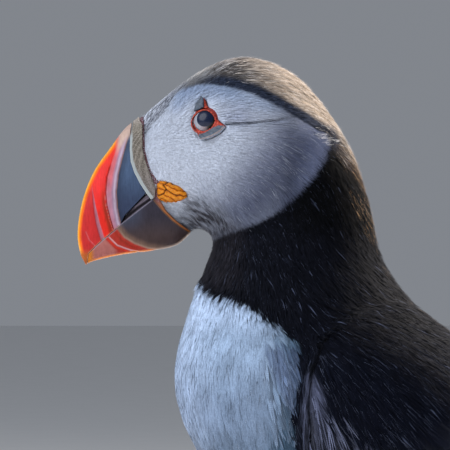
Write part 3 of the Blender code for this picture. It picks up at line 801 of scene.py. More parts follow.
def at_eye(p):
    """Back, up and out from the middle of the nearer eye."""
    return PLACES["left"].local(np.column_stack([np.abs(p[:, 0]), p[:, 1:]]))


def body_form():
    """The body's form, evened out and drawn in by the depth of the coat."""
    filled = [f"{kind}_{side}" for kind in ("eye", "orbit", "rosette") for side, _ in SIDES]
    mesh = remeshed(joined_copy([*FLESH, *filled, "cere", "upper_mandible", "lower_mandible"], 0.3), 1.25)
    edges = edges_of(mesh)
    points = relax(points_of(mesh), edges, 7)
    set_points(mesh, points)
    shoulder = bump(-26, 8, points[:, 1], 14) * bump(112, 128, points[:, 2], 14)
    shoulder = shoulder * smooth(8, 16, np.abs(points[:, 0]))
    points = mix(points, relax(points, edges, 45, 0.5, 0.0), shoulder)
    set_points(mesh, points)
    points = points - normals_of(mesh) * (coat_depth(points)[:, None] + 0.3)
    points = relax(points, edges, 3)
    set_points(mesh, points)
    return mesh


def refine_face(mesh):
    """Gives the skin a finer net where the face has its hollows and its crease."""
    shape = bmesh.new()
    shape.from_mesh(mesh)
    for reach in (9.5, 8.5):
        near = []
        for e in shape.edges:
            c = (e.verts[0].co + e.verts[1].co) / (2 * MM)
            eye = math.hypot(c.y - EYE[0], c.z - EYE[1]) < reach
            rosette = math.hypot(c.y - GAPE[0], c.z - GAPE[1]) < reach - 2
            crease = -57 < c.y < -36 and abs(c.z - 190.4) < reach - 6
            if abs(c.x) > 5 and (eye or rosette or crease):
                near.append(e)
        bmesh.ops.subdivide_edges(shape, edges=near, cuts=1, use_grid_fill=True)
        bmesh.ops.triangulate(shape, faces=[f for f in shape.faces if len(f.verts) > 4])
    shape.to_mesh(mesh)
    shape.free()


def lid_reach(u, v):
    """Distance from the middle of the lids."""
    return np.hypot(u + 0.07, v + 0.7)


def sink_hollows(mesh):
    """Hollows for the eyes and the rosettes, and the crease behind the eye."""
    points = points_of(mesh)
    u, v, _ = at_eye(points)
    face = (np.abs(points[:, 0]) > 4) & (points[:, 2] > 150)
    hollow = 1.4 * smooth(0.1, 0.8, within(u, v, ORBIT_OUTLINE)) + 2.7 * smooth(3.7, 3.2, lid_reach(u, v))
    y, z = points[:, 1], points[:, 2]
    hollow = hollow + 1.6 * smooth(-0.2, 0.8, within(y, z, ROSETTE))
    gap, at = distance(y, z, CREASE)
    hollow = hollow + 0.6 * np.exp(-((gap / 0.55) ** 2)) * smooth(1.0, 0.6, at)
    displaced(mesh, points, -hollow * face)


def unwrap(mesh):
    """Lays the skin out flat by its own shape, in a map named OFBake."""
    mesh.uv_layers.new(name="OFBake")
    temp = bpy.data.objects.new("unwrap", mesh)
    bpy.context.scene.collection.objects.link(temp)
    bpy.context.view_layer.objects.active = temp
    temp.select_set(True)
    bpy.ops.object.mode_set(mode="EDIT")
    bpy.ops.mesh.select_all(action="SELECT")
    bpy.ops.uv.smart_project(angle_limit=math.radians(66), island_margin=0.004)
    bpy.ops.object.mode_set(mode="OBJECT")
    bpy.data.objects.remove(temp)


def make_skin():
    """The whole skin as one closed surface, behind the bill, with its map."""
    before = [*moved(FEATHER_LINE, 0.25), (-66.35, 142.5), (-125, 142.5), (-125, 215), (-83.7, 215)]
    mesh = cut_away(body_form(), [before])
    refine_face(mesh)
    sink_hollows(mesh)
    mesh.shade_smooth()
    unwrap(mesh)
    return mesh


def finish_skin(mesh, surface, finish):
    """Skin in the colours of the plumage over it, darker under dark feathers as painted shade between them,
    and red at the eyes.
    """
    p = surface.points
    pale = (p[:, 2] > 0) * (is_white_front(p) | inside(p[:, 1], p[:, 2], CHEEK))
    # painted shade: the skin under dark feathers is darkened
    colour = markings(p) * (0.7 + 0.3 * pale)[:, None]
    u, v, _ = at_eye(p)
    near_eye = smooth(4.2, 3.9, np.hypot(u, v + 0.6)) * (np.abs(p[:, 0]) > 5)
    finished("skin", mesh, mix(colour, "7a2a22", near_eye), finish, FLESH)


class Surface:
    """Fast look-ups on the skin."""

    def __init__(self, mesh):
        self.points = points_of(mesh)
        self.normals = normals_of(mesh)
        mesh.calc_loop_triangles()
        tri = np.empty(len(mesh.loop_triangles) * 3, np.int32)
        mesh.loop_triangles.foreach_get("vertices", tri)
        self.tri = tri.reshape(-1, 3)
        loops = np.empty(len(mesh.loop_triangles) * 3, np.int32)
        mesh.loop_triangles.foreach_get("loops", loops)
        uv = np.empty(len(mesh.loops) * 2, np.float32)
        mesh.uv_layers["OFBake"].data.foreach_get("uv", uv)
        self.uv = uv.reshape(-1, 2)[loops].reshape(-1, 3, 2)
        a, b, c = (self.points[self.tri[:, k]] for k in range(3))
        self.area = np.linalg.norm(np.cross(b - a, c - a), axis=1) / 2
        self.centre = self.points[self.tri].mean(1)
        self.tree = KDTree(len(self.points))
        for k, p in enumerate(self.points):
            self.tree.insert(p, k)
        self.tree.balance()

    def nearest(self, p):
        find = self.tree.find
        return np.fromiter((find(q)[1] for q in p), np.int64, len(p))

    def settle(self, p):
        """Moves points onto the skin, and gives the skin's normals there."""
        k = self.nearest(p)
        n = self.normals[k]
        return p - n * np.sum((p - self.points[k]) * n, 1, keepdims=True), n

    def cast(self, start, way):
        """Where rays meet the skin: place, normal and map place, and which rays met it."""
        tree = BVHTree.FromPolygons(self.points.tolist(), self.tri.tolist())
        hits = [tree.ray_cast(Vector(q), Vector(way)) for q in start]
        met = np.array([h[0] is not None for h in hits])
        found = [h for h in hits if h[0] is not None]
        place = np.array([h[0] for h in found])
        face = np.array([h[2] for h in found])
        return (place, self.normals[self.tri[face, 0]], self.uv[face].mean(1)), met

    def from_side(self, yz, sign):
        """Spots on the skin seen from one side at places in (y, z)."""
        return self.cast(np.column_stack([np.full(len(yz), sign * FAR), yz]), (-sign, 0, 0))

    def scatter(self, density, rng):
        """Random spots with so many to a square mm at each triangle: place, normal, map place."""
        expected = density * self.area
        count = rng.poisson(expected)
        face = np.repeat(np.arange(len(self.tri)), count)
        r = rng.random((2, len(face)))
        r[0] = np.sqrt(r[0])
        weight = np.stack([1 - r[0], r[0] * (1 - r[1]), r[0] * r[1]], 1)[..., None]
        place = (self.points[self.tri[face]] * weight).sum(1)
        normal = unit((self.normals[self.tri[face]] * weight).sum(1))
        return place, normal, (self.uv[face] * weight).sum(1)


def chosen_spots(spots, which):
    """Some of the spots on the skin."""
    return tuple(column[which] for column in spots)


# ---------------------------------------------------------------------------------------
# Coat


def is_white_front(p):
    return inside(p[:, 1], p[:, 2], WHITE_FRONT) & (p[:, 2] < FRONT_TOP)


def tuft_size(p):
    """Length and width in mm of the small feathers at a point: least on the face."""
    x, y, z = p.T
    reach = np.hypot(y + 82, z - 178)
    length = 1.5 + 1.3 * smooth(0, 24, reach) + 1.6 * smooth(22, 48, reach) + 2.6 * smooth(45, 85, reach)
    length = length + 2.2 * smooth(80, 130, reach)
    width = 0.27 + 0.06 * smooth(10, 50, reach) + 0.12 * smooth(50, 100, reach)
    width = width + 0.16 * smooth(100, 160, reach)
    # shorter along the edge of the cheek, which is crisp
    edge = smooth(3.2, 0.8, np.abs(within(y, z, CHEEK))) * smooth(152, 156, z) * smooth(-72, -66, y)
    length = length * (1 - 0.5 * edge)
    thigh = smooth(50, 44, z) * smooth(6, 10, np.abs(x)) * smooth(56, 50, y)
    return length * (1 - 0.6 * thigh), width * np.where(is_white_front(p), 2.6, 1.0) * (1 - 0.35 * thigh)


def bare(p, margin=0.0):
    """Where no feather grows: round the eye, on the rosette, in the crease and on the bill."""
    y, z = p[:, 1], p[:, 2]
    face = (np.abs(p[:, 0]) > 3) & (z > 150)
    u, v, _ = at_eye(p)
    skip = ((within(u, v, ORBIT_OUTLINE) > -margin) | (lid_reach(u, v) < 3.8 + margin)) & face
    gap, at = distance(y, z, CREASE)
    skip |= (gap < 0.22 * (1 - at)) & face
    skip |= (within(y, z, ROSETTE) > -margin) & face
    return skip | inside(y, z, [*FEATHERS_START, (-110.0, 140.0), (-110.0, 200.0)])


# Faces of one small feather. Its root has three corners, as has the middle of a blade; then the tip.
SPIKE = np.array([(0, 1, 2), (0, 3, 1), (1, 3, 2), (2, 3, 0)])
BLADE = [(0, 1, 2), (0, 4, 1), (0, 3, 4), (1, 5, 2), (1, 4, 5), (2, 3, 0), (2, 5, 3)]
BLADE = np.array([*BLADE, (3, 6, 4), (4, 6, 5), (5, 6, 3)])
PATCH = 0.0014  # half the side of a feather's place in the map


def tuft_course(surface, roots, normals, length, loose, spike, rng):
    """How small feathers lie: length, way onward, and place and normal at middle and end."""
    lie = lie_of(roots, normals)
    turn = wander(roots, 3.0, 31) * loose + wander(roots, 8.0, 32) * 0.10 + rng.normal(0, 0.08, len(roots))
    across = np.cross(normals, lie)
    lie = unit(lie * np.cos(turn)[:, None] + across * np.sin(turn)[:, None])
    for _ in range(3):
        blocked = bare(roots + lie * length[:, None], 0.1)
        length = np.where(blocked, length * 0.62, length)
    middle, middle_n = surface.settle(roots + lie * (0.5 * length)[:, None])
    # where the body bends sharply the feathers are short
    bent = np.sum(middle_n * normals, 1) < np.where(is_white_front(roots), 0.88, 0.8)
    if np.any(bent):
        length = np.where(bent, length * 0.36, length)
        middle[bent], middle_n[bent] = surface.settle((roots + lie * (0.5 * length)[:, None])[bent])
    onward = unit(middle - roots)
    straight = middle + onward * (0.5 * length)[:, None]
    end, end_n = (middle, middle_n) if spike else surface.settle(straight)
    over = np.sum(end_n * middle_n, 1) < 0.85
    end = np.where((over | spike)[:, None], straight, end)
    end_n = np.where(over[:, None], middle_n, end_n)
    return onward, middle, middle_n, end, end_n


def build_tufts(surface, spots, rng, spike=False, scale=1.0, slim=1.0, lift=1.0, loose=0.1):
    """Closed flattened blades lying along the coat: points, faces, map places, normals."""
    roots, normals, uv = spots
    count = len(roots)
    length, width = tuft_size(roots)
    length = length * rng.uniform(0.75, 1.25, count) * scale
    width = width * rng.uniform(0.8, 1.25, count) * slim
    onward, middle, middle_n, end, end_n = tuft_course(surface, roots, normals, length, loose, spike, rng)
    white = is_white_front(roots)
    rise = coat_depth(roots) * rng.uniform(np.where(white, 0.35, 0.45), np.where(white, 0.8, 1.0)) * lift
    # none shows where it would lie across a sharp fold
    folded = np.sum(middle_n * normals, 1) < 0.75
    width, rise = np.where(folded, 0.05, width), np.where(folded, 0.0, rise)
    crown = np.where(white, 0.03, 0.18) * width
    stops = [(roots, normals, 1.0, np.full(count, -0.1))]
    if not spike:
        stops.append((middle, middle_n, 0.85, rise * 0.65))
    rows, ways = [], []
    b = unit(np.cross(normals + middle_n, onward))  # one way across, so that no blade twists
    tilt = np.where(white, 0.03, 0.15)[:, None]
    for place, n, share, height in stops:
        centre = place + n * height[:, None]
        half = (width * share / 2)[:, None]
        rows.append(np.stack([centre - b * half, centre + n * crown[:, None], centre + b * half], 1))
        ways.append(np.stack([unit(n - b * tilt), n, unit(n + b * tilt)], 1))
    rows.append((end + end_n * rise[:, None])[:, None])
    ways.append(unit(end_n + onward * 0.25)[:, None])
    points, ways = np.concatenate(rows, 1), np.concatenate(ways, 1)
    pattern, each = (SPIKE, 4) if spike else (BLADE, 7)
    faces = (pattern[None] + each * np.arange(count)[:, None, None]).reshape(-1, 3)
    patch = [(-1, -1), (0, -1), (1, -1)] + ([] if spike else [(-1, 0), (0, 0), (1, 0)]) + [(0, 1)]
    return points, faces, uv[:, None, :] + np.array(patch)[None] * PATCH, ways


def coat_piece(name, made, colours, finish):
    """One piece of coat from many feathers, with its map and its own normals."""
    points, faces, places, ways = made
    mesh = triangles_mesh(name, points.reshape(-1, 3), faces)
    layer = mesh.uv_layers.new(name="OFBake")
    layer.data.foreach_set("uv", places.reshape(-1, 2)[faces.ravel()].astype(np.float32).ravel())
    mesh.normals_split_custom_set_from_vertices(ways.reshape(-1, 3))
    finished(name, mesh, colours.reshape(-1, 3), finish)
    return mesh


def worn_and_lit_tips(colours, roots, dark, rng):
    """Pale edges on some feathers, partly wear and partly painted highlight: silver on neck and back, cream
    on crown and nape, most often on the hind crown.
    """
    y, z = roots[:, 1], roots[:, 2]
    past_cheek = -within(y, z, CHEEK)
    crown = smooth(176, 190, z) * smooth(1.9, 3.6, past_cheek) * nape_zone(y, z)
    nape = smooth(14, 4, np.abs(roots[:, 0])) * smooth(-45, -30, y) * smooth(110, 140, z)
    often = 0.01 + (0.18 + 0.3 * smooth(-56, -42, y)) * crown + 0.02 * nape
    worn = (rng.random(len(roots)) < often) * dark
    # the cream on the crown is partly a painted highlight of the rim light
    pale = mix(mix("58607a", "7a6a5c", nape), CAP_PALE, crown)
    pale = mix(pale, "d0d3de", smooth(-52, -66, y) * crown)
    colours = mix(colours, pale[:, None, :], ((0.45 + 0.35 * crown) * worn)[:, None])
    # dark streaks on the forehead
    forehead = smooth(-62, -72, y) * smooth(184, 188, z)
    streak = rng.random(len(roots)) < 0.34 * forehead * (past_cheek > 0)
    return mix(colours, "2e323f", 0.75 * np.repeat(streak[:, None], colours.shape[1], 1))


def tuft_colours(made, roots, rng):
    """Colours each point of each tuft by where it lies, with painted shade in the crease behind the eye and
    along each tuft.
    """
    points = made[0]
    each = points.shape[1]
    flat = points.reshape(-1, 3)
    y, z = flat[:, 1], flat[:, 2]
    collar = smooth(150, 146, z) * smooth(118, 124, z)
    body = smooth(118, 110, z)
    at_root = np.repeat(roots, each, 0)
    where = flat + (at_root - flat) * (0.35 + 0.35 * collar)[:, None]
    colours = markings(where, 0.06 + 0.7 * collar + 0.8 * body, 5).reshape(len(points), each, 3)
    # painted shade in the crease behind the eye
    gap, at = distance(y, z, CREASE)
    crease = smooth(0.45, 0.15, gap) * (1 - at) ** 0.6 * (np.abs(flat[:, 0]) > 5)
    colours = mix(colours, "1f2430", crease.reshape(len(points), each) * 0.95)
    dark = smooth(0.2, 0.05, colours.mean((1, 2)))
    uneven = rng.normal(1.0, 0.02 + 0.18 * dark, len(points)).clip(0.5, 1.7)
    colours = worn_and_lit_tips(colours * uneven[:, None, None], roots, dark, rng)
    # painted shade and light along each tuft: darker at its root, paler at its tip
    spread = np.where(is_white_front(roots), 0.02, 0.08)
    return colours * (1 + spread[:, None] * np.linspace(-1, 0.8, each)[None])[..., None]


def make_coat(surface, finish):
    """The small contour feathers over the whole body, in eight pieces."""
    rng = np.random.default_rng(SEED)
    centre = surface.centre
    length, width = tuft_size(centre)
    cover = 2.7 + 0.7 * smooth(150, 170, centre[:, 2]) + 1.3 * is_white_front(centre)
    density = cover / (0.55 * length * width)
    spots = surface.scatter(density * ~bare(centre, -0.1) * (1 - vaned(centre)), rng)
    spots = chosen_spots(spots, ~bare(spots[0]))
    roots = spots[0]
    y, z = roots[:, 1], roots[:, 2]
    left = roots[:, 0] > 0
    cheek = (z > 152) & inside(y, z, CHEEK)
    cap, neck = (z > 176) & ~cheek, (z > 136) & (z <= 176) & ~cheek
    rest, pale = (z <= 136) & ~cheek, inside(y, z, WHITE_FRONT)
    groups = {
        "coat_face_left": (cheek & left, True, "pale_plumage"),
        "coat_face_right": (cheek & ~left, True, "pale_plumage"),
        "coat_cap": (cap, False, "dark_plumage"),
        "coat_neck": (neck, False, "dark_plumage"),
        "coat_front": (rest & pale & (z > 88), False, "pale_plumage"),
        "coat_belly": (rest & pale & (z <= 88), False, "pale_plumage"),
        "coat_back": (rest & ~pale & (z > 88), False, "dark_plumage"),
        "coat_rear": (rest & ~pale & (z <= 88), False, "dark_plumage"),
    }
    for name, (which, spike, slot) in groups.items():
        made = build_tufts(surface, chosen_spots(spots, which), rng, spike)
        coat_piece(name, made, tuft_colours(made, roots[which], rng), finish)


class Strands:
    """Lays single fine feathers thinly over the rest."""

    def __init__(self, surface, finish):
        self.surface, self.finish = surface, finish
        self.rng = np.random.default_rng(SEED + 2)

    def either(self, a, b, often):
        """A colour for each spot: the first one this often, else the second."""
        return lambda p: np.where((self.rng.random(len(p)) < often)[:, None], linear(a), linear(b))

    def crown_tint(self, p):
        """Cream strokes, partly a painted highlight of the light on the crown, that turn silver on the
        forehead, with dark ones among them.
        """
        silver = smooth(-46, -66, p[:, 1])
        pale = mix("f1e8e2", "d6dae6", silver)
        return np.where((self.rng.random(len(p)) < 0.36 - 0.16 * silver)[:, None], linear("2a2627"), pale)

    def lay(self, name, density, tint, scale, slim, lift, loose, share, slot="dark_plumage"):
        """Share is how far each feather takes the tint in place of the markings."""
        rng = self.rng
        spots = self.surface.scatter(density, rng)
        spots = chosen_spots(spots, ~bare(spots[0]))
        roots = spots[0]
        made = build_tufts(self.surface, spots, rng, True, scale, slim, lift, loose)
        colour = mix(markings(roots, 0.3, 5), tint(roots), rng.uniform(*share, len(roots)) ** 1.5)
        # none may cross the clean edge of the cheek
        tips = made[0][:, -1]
        stays = inside(tips[:, 1], tips[:, 2], CHEEK) == inside(roots[:, 1], roots[:, 2], CHEEK)
        stays |= (roots[:, 2] < 150) | (loose > 0.4)
        made = (made[0][stays], made[1][: 4 * stays.sum()], made[2][stays], made[3][stays])
        coat_piece(name, made, np.repeat(colour[stays][:, None], 4, 1), self.finish)


def make_strands(surface, finish):
    strands = Strands(surface, finish)
    p = surface.centre
    y, z = p[:, 1], p[:, 2]
    past_cheek = -within(y, z, CHEEK)
    cheek = inside(y, z, CHEEK) & (z > 150)
    front = is_white_front(p)
    plain = ~bare(p, -0.1) & ~front & (vaned(p) < 0.3) & (y < 40) & ~cheek
    on_crown = np.maximum(smooth(1.6, 3.4, past_cheek), 0.7 * smooth(-56, -66, y))
    on_crown = smooth(178, 188, z) * nape_zone(y, z) * on_crown * (1 - 0.5 * bump(-65, -50, y, 4))
    strands.lay(
        "strands_crown", 6.3 * plain * on_crown, strands.crown_tint,
        scale=1.25, slim=0.52, lift=1.15, loose=0.12, share=(0.4, 1),
    )
    # pale strokes on the black neck and back: partly paler feathers, partly painted sheen
    on_neck = smooth(180, 168, z) * (0.18 + 0.75 * smooth(-14, -44, y) * smooth(118, 150, z))
    on_neck = on_neck + 0.45 * smooth(136, 122, z)
    strands.lay(
        "strands_neck", 2.6 * plain * on_neck, strands.either("727b97", "3a4157", 0.3),
        scale=0.9, slim=0.22, lift=1.05, loose=0.12, share=(0.05, 0.9),
    )
    # painted highlight: golden strokes where the rim light catches the nape
    on_nape = np.maximum(1.4 * nape_zone(y, z) * smooth(190, 184, z), 0.8 * inside(y, z, NAPE_LIT_STROKES))
    strands.lay(
        "strands_nape", plain * on_nape, strands.either("e6c096", "7a5f45", 0.5),
        scale=1.4, slim=0.62, lift=1.2, loose=0.15, share=(0.15, 1),
    )
    strands.lay(
        "strands_face", 1.6 * cheek * ~bare(p, -0.1), strands.either("cfd7e6", "727a8c", 0.5),
        scale=1.15, slim=0.42, lift=1.08, loose=0.08, share=(0.1, 0.75), slot="pale_plumage",
    )
    strands.lay(
        "strands_front", 0.7 * front, strands.either("d5e1f2", "96a4bd", 0.6),
        scale=0.9, slim=0.1, lift=1.1, loose=0.1, share=(0.05, 0.6), slot="pale_plumage",
    )
    # a rough white tuft where the cheek meets the nape
    strands.lay(
        "nape_tuft", 3.0 * inside(y, z, NAPE_TUFT), strands.either("f4f6fa", "3c404c", 0.55),
        scale=0.8, slim=0.32, lift=1.7, loose=0.9, share=(0.9, 1), slot="pale_plumage",
    )


# ---------------------------------------------------------------------------------------
# Vanes: the large feathers of wings, back and tail

BEND, TIP = np.array([-29.0, 121.0]), np.array([96.0, 28.0])  # ends of the folded wing, (y, z)
WING_LENGTH = float(np.linalg.norm(TIP - BEND))
ALONG = (TIP - BEND) / WING_LENGTH
ACROSS = np.array([-ALONG[1], ALONG[0]])
# Share of the wing's length, and how far its lower and upper edges lie from its middle line.
WING_EDGES = (
    (0.0, -8, 10),
    (0.15, -21, 20),
    (0.3, -27, 26),
    (0.5, -25, 25),
    (0.7, -17, 19),
    (0.85, -9, 11),
    (1.0, -2, 2),
)
# Rows from the bend to the tip: share of the length at the roots, feather length and width.
WING_ROWS = (
    (0.265, 9, 4.4), (0.285, 10, 4.8), (0.31, 11, 5.2), (0.34, 13, 5.8), (0.375, 15, 6.4), (0.41, 18, 7.2),
    (0.45, 24, 8.0), (0.50, 36, 8.6),
)
LONGEST_COVERT = 30
PRIMARIES = 7
TAIL_FEATHERS = 12


def wing_edges(share):
    """How far the wing's lower and upper edges lie from its middle line."""
    shares, low, high = np.transpose(WING_EDGES)
    return np.interp(share, shares, low), np.interp(share, shares, high)


def wing_share(y, z):
    """Place on the folded wing: share of its length, and of its half width from -1 to 1."""
    q = np.stack([y, z], -1) - BEND
    share = q @ ALONG / WING_LENGTH
    low, high = wing_edges(share)
    offset = q @ ACROSS
    return share, np.where(offset < 0, -offset / np.minimum(low, -0.1), offset / np.maximum(high, 0.1))


def vaned(p):
    """Where vanes take the place of small tufts: from 0 to 1 over the wings, back and tail."""
    y, z = p[:, 1], p[:, 2]
    share, _ = wing_share(y, z)
    edge = 5 * smooth(78, 66, y) * smooth(110, 100, z)
    dark = smooth(0.5 - edge, -1.0 - 1.4 * edge, within(y, z, WHITE_FRONT))
    back = smooth(10, 24, y) * smooth(134, 120, z)
    wing = smooth(0.2, 0.3, share) * smooth(4, 13, y) * smooth(122, 112, z)
    return dark * np.maximum(back, wing) * (np.abs(p[:, 0]) + y > 8)


ACROSS_VANE = np.array([-1.0, -0.5, 0.0, 0.5, 1.0])


def vane_faces(stations):
    """Triangles of one closed vane: five points across at each station, then the tip."""
    faces = [(0, 2, 1), (0, 4, 2), (2, 4, 3)]
    for r in range(stations - 1):
        for k in range(4):
            a, b = r * 5 + k, r * 5 + k + 1
            faces += [(a, b, b + 5), (a, b + 5, a + 5)]
        a, b = r * 5, r * 5 + 4
        faces += [(a, a + 5, b + 5), (a, b + 5, b)]
    tip, row = stations * 5, (stations - 1) * 5
    faces += [(row + k, row + k + 1, tip) for k in range(4)]
    faces.append((row + 4, row, tip))
    return np.array(faces)[:, ::-1]


def build_vanes(surface, spots, heading, length, width, rise, rng, stations, blunt):
    """Long closed feathers that lie along the surface, each a little higher than the one below."""
    place, n, uv = spots
    count = len(place)
    shares = np.linspace(0, 1, stations + 1)
    way = unit(heading - n * np.sum(heading * n, 1, keepdims=True))
    lean = rng.normal(0, 0.10, count)
    crown = 0.06 * width
    rows, ways = [], []
    for k, share in enumerate(shares):
        if k:
            step = length * (shares[k] - shares[k - 1])
            place, n = surface.settle(place + way * step[:, None])
            way = unit(way - n * np.sum(way * n, 1, keepdims=True))
        height = 0.15 + (rise - 0.15) * share**0.8
        side = unit(np.cross(n, way))
        centre = place + n * height[:, None]
        if k == stations:
            rows.append(centre[:, None])
            ways.append(unit(n + way * 0.15)[:, None])
            break
        narrowing = max(0.0, (share - blunt) / (1.02 - blunt))
        shape = min(1.0, 0.45 + 1.6 * share) * (1 - narrowing**2.2) ** 0.5
        half = width / 2 * shape * rng.uniform(0.93, 1.06, count)
        across = ACROSS_VANE[None] * half[:, None]
        lift = (crown * shape)[:, None] * (1 - ACROSS_VANE[None] ** 2) + lean[:, None] * across
        rows.append(centre[:, None] + side[:, None] * across[..., None] + n[:, None] * lift[..., None])
        outward = 0.22 * ACROSS_VANE[None, :, None] - lean[:, None, None]
        ways.append(unit(n[:, None] + side[:, None] * outward))
    points, ways = np.concatenate(rows, 1), np.concatenate(ways, 1)
    faces = (vane_faces(stations)[None] + points.shape[1] * np.arange(count)[:, None, None]).reshape(-1, 3)
    along = np.repeat(shares, [5] * stations + [1])
    across = np.concatenate([np.tile(ACROSS_VANE, stations), [0.0]])
    patch = np.stack([across, along * 2 - 1], 1) * PATCH
    # barbs slant forwards from the shaft on both sides
    barb = along[None] * length[:, None] - np.abs(across)[None] * width[:, None] * 0.55
    return (points, faces, uv[:, None] + patch[None], ways), along, across, barb


def spaced(p, gap, rng, cell_size=4.0):
    """Picks points in random order, none nearer than its gap to one picked before it."""
    cells, kept = {}, []
    for k in rng.permutation(len(p)):
        cell = tuple((p[k] // cell_size).astype(int))
        near = [
            m
            for a in (-1, 0, 1) for b in (-1, 0, 1) for c in (-1, 0, 1)
            for m in cells.get((cell[0] + a, cell[1] + b, cell[2] + c), ())
        ]
        if all(np.dot(p[k] - p[m], p[k] - p[m]) > gap[k] ** 2 for m in near):
            kept.append(k)
            cells.setdefault(cell, []).append(k)
    return np.array(kept)


class Vanes:
    """Lays groups of large feathers on the skin."""

    def __init__(self, surface):
        self.surface, self.finish = surface, vane_material()
        self.rng = np.random.default_rng(SEED + 1)

    def lay(self, name, spots, heading, length, width, rise, base, stations=6, blunt=0.5, edge="23262f",
            slot="dark_plumage"):
        """One piece. Blunt is the share of the length where a feather starts to narrow."""
        rng = self.rng
        made, along, across, barb = build_vanes(
            self.surface, spots, heading, length, width, rise, rng, stations, blunt
        )
        count, each = made[0].shape[:2]
        base = np.broadcast_to(base, (count, 3))
        uneven = rng.normal(1, 0.14, count).clip(0.6, 1.5)
        colour = np.repeat(base[:, None], each, 1) * uneven[:, None, None]
        fringe = smooth(0.6, 1.0, np.abs(across)) * 0.5 + 0.4 * smooth(0.75, 1.0, along)
        colour = mix(colour, edge, fringe[None] * rng.uniform(0.15, 0.8, count)[:, None])
        number(coat_piece(name, made, colour, self.finish), barb.ravel(), "barb")

    def back(self):
        """Back, rump and shoulders."""
        p = self.surface.centre
        share, across = wing_share(p[:, 1], p[:, 2])
        on_wing = (np.abs(p[:, 0]) > 20 - 10 * smooth(0.5, 1, share)) & (np.abs(across) < 1)
        on_wing &= (share > 0.26) & (p[:, 1] > 6)
        spots = self.surface.scatter(0.5 * (vaned(p) > 0.3) * ~on_wing, self.rng)
        y = spots[0][:, 1]
        size = 0.55 + 0.5 * smooth(8, 60, y) - 0.25 * smooth(78, 92, y)
        kept = spaced(spots[0], 2.5 * size, self.rng)
        spots, size = chosen_spots(spots, kept), size[kept]
        rise = coat_depth(spots[0]) * self.rng.uniform(0.75, 1.05, len(size))
        self.lay("vanes_back", spots, lie_of(*spots[:2]), 11.5 * size, 5.6 * size, rise, BACK_BLACK)

    def wing(self, side, sign):
        """Coverts in rows, then the long quills, whose tips step down towards the wing's tip."""
        rows = {"coverts": [], "quills": []}
        for n_row, (at, long, wide) in enumerate(WING_ROWS):
            low, high = wing_edges(at)
            count = int((high - low) / (wide * 0.52))
            for k in range(count + 1):
                offset = low + (high - low) * (k + 0.5 * (n_row % 2)) / count
                slant = 0.0009 * (offset - low)
                share = at - slant + self.rng.normal(0, 0.004)
                root = BEND + ALONG * WING_LENGTH * share + ACROSS * offset
                kind = "quills" if long > LONGEST_COVERT else "coverts"
                rows[kind].append((*root, long * self.rng.uniform(0.92, 1.08), wide, 0.0))
        for k in range(PRIMARIES):
            # each inner primary ends a step nearer the body
            tip = TIP - ALONG * (5.5 * k) + ACROSS * (0.5 + 1.15 * k)
            long = 66 - 3.0 * k
            root = tip - (ALONG * 0.998 + ACROSS * 0.06) * long
            rows["quills"].append((*root, long, 8.5, k * 0.05))
        looks = {"coverts": (0.95, 6, BACK_BLACK), "quills": (0.8, 10, linear("12100f"))}
        for name, (share, stations, base) in looks.items():
            data = np.array(rows[name])
            spots, hit = self.surface.from_side(data[:, :2], sign)
            _, _, length, width, above = data[hit].T
            p = spots[0]
            closing = -0.10 * wing_share(p[:, 1], p[:, 2])[1]
            heading = np.tile([0.0, *ALONG], (len(p), 1)) + np.array([0, *ACROSS]) * closing[:, None]
            rise = coat_depth(p) * share + above
            self.lay(f"vanes_{name}_{side}", spots, heading, length, width, rise, base, stations, 0.6)

    def flap(self, side, sign):
        """The flap at the rear of the white front."""
        rng, count = self.rng, 170
        t = rng.random(count)
        yz = np.column_stack([-39.0 + 2.5 * t - 7.5 * rng.random(count) ** 1.3, 124.5 - 24.0 * t])
        spots, _ = self.surface.from_side(yz, sign)
        count = len(spots[0])
        heading = np.column_stack([np.zeros(count), rng.normal(0.30, 0.1, count), np.full(count, -1.0)])
        # coloured by the markings, so it takes their painted shade
        base = markings(spots[0]) * rng.uniform(0.8, 1.25, count)[:, None]
        length, width = rng.uniform(5, 10, count), rng.uniform(0.5, 1.0, count)
        rise = rng.uniform(0.3, 0.9, count)
        self.lay(
            f"flap_{side}", spots, heading, length, width, rise, base,
            blunt=0.35, edge="8fa0bc", slot="pale_plumage",
        )

    def flank(self, side, sign):
        """Loose grey plumes behind the flap, fine ones and broad ones."""
        rng, count = self.rng, 150
        t = rng.random(count)
        y = -33.5 + 9.0 * t**0.7 + rng.normal(0, 0.8, count)
        z = 113.5 - 8 * t - 16 * rng.random(count)
        spots, hit = self.surface.from_side(np.column_stack([y, z]), sign)
        p, t = spots[0], t[hit]
        count = len(p)
        back = 0.05 + 0.75 * t + rng.normal(0, 0.12, count)
        heading = np.column_stack([np.zeros(count), back, np.full(count, -1.0)])
        fine_ones = rng.random(count) < 0.6
        width = np.where(fine_ones, rng.uniform(0.3, 0.55, count), rng.uniform(1.4, 2.6, count))
        base = mix("1b1d27", "585e76", rng.uniform(0, 1, count) ** 1.4)
        base = base * (0.15 + 1.15 * smooth(98, 112, p[:, 2]))[:, None]
        rise = np.where(width < 1, 1.9, 1.2) * rng.uniform(0.6, 1.0, count) * coat_depth(p) / 1.6
        length = rng.uniform(12, 22, count)
        self.lay(f"flank_{side}", spots, heading, length, width, rise, base, 8, 0.3, "7c829a")

    def tail(self):
        """Tail feathers, a low fan."""
        count = TAIL_FEATHERS
        across = np.linspace(-1, 1, count)
        start = np.column_stack([across * 9.0, np.full(count, 84.0), np.full(count, FAR)])
        spots, _ = self.surface.cast(start, (0, 0, -1))
        heading = np.column_stack([across * 0.26, np.full(count, 0.78), np.full(count, -0.62)])
        length, width, rise = 25.0 - 2.5 * across**2, np.full(count, 7.0), np.full(count, 0.9)
        self.lay("vanes_tail", spots, heading, length, width, rise, linear("100e0f"), 8, 0.7)


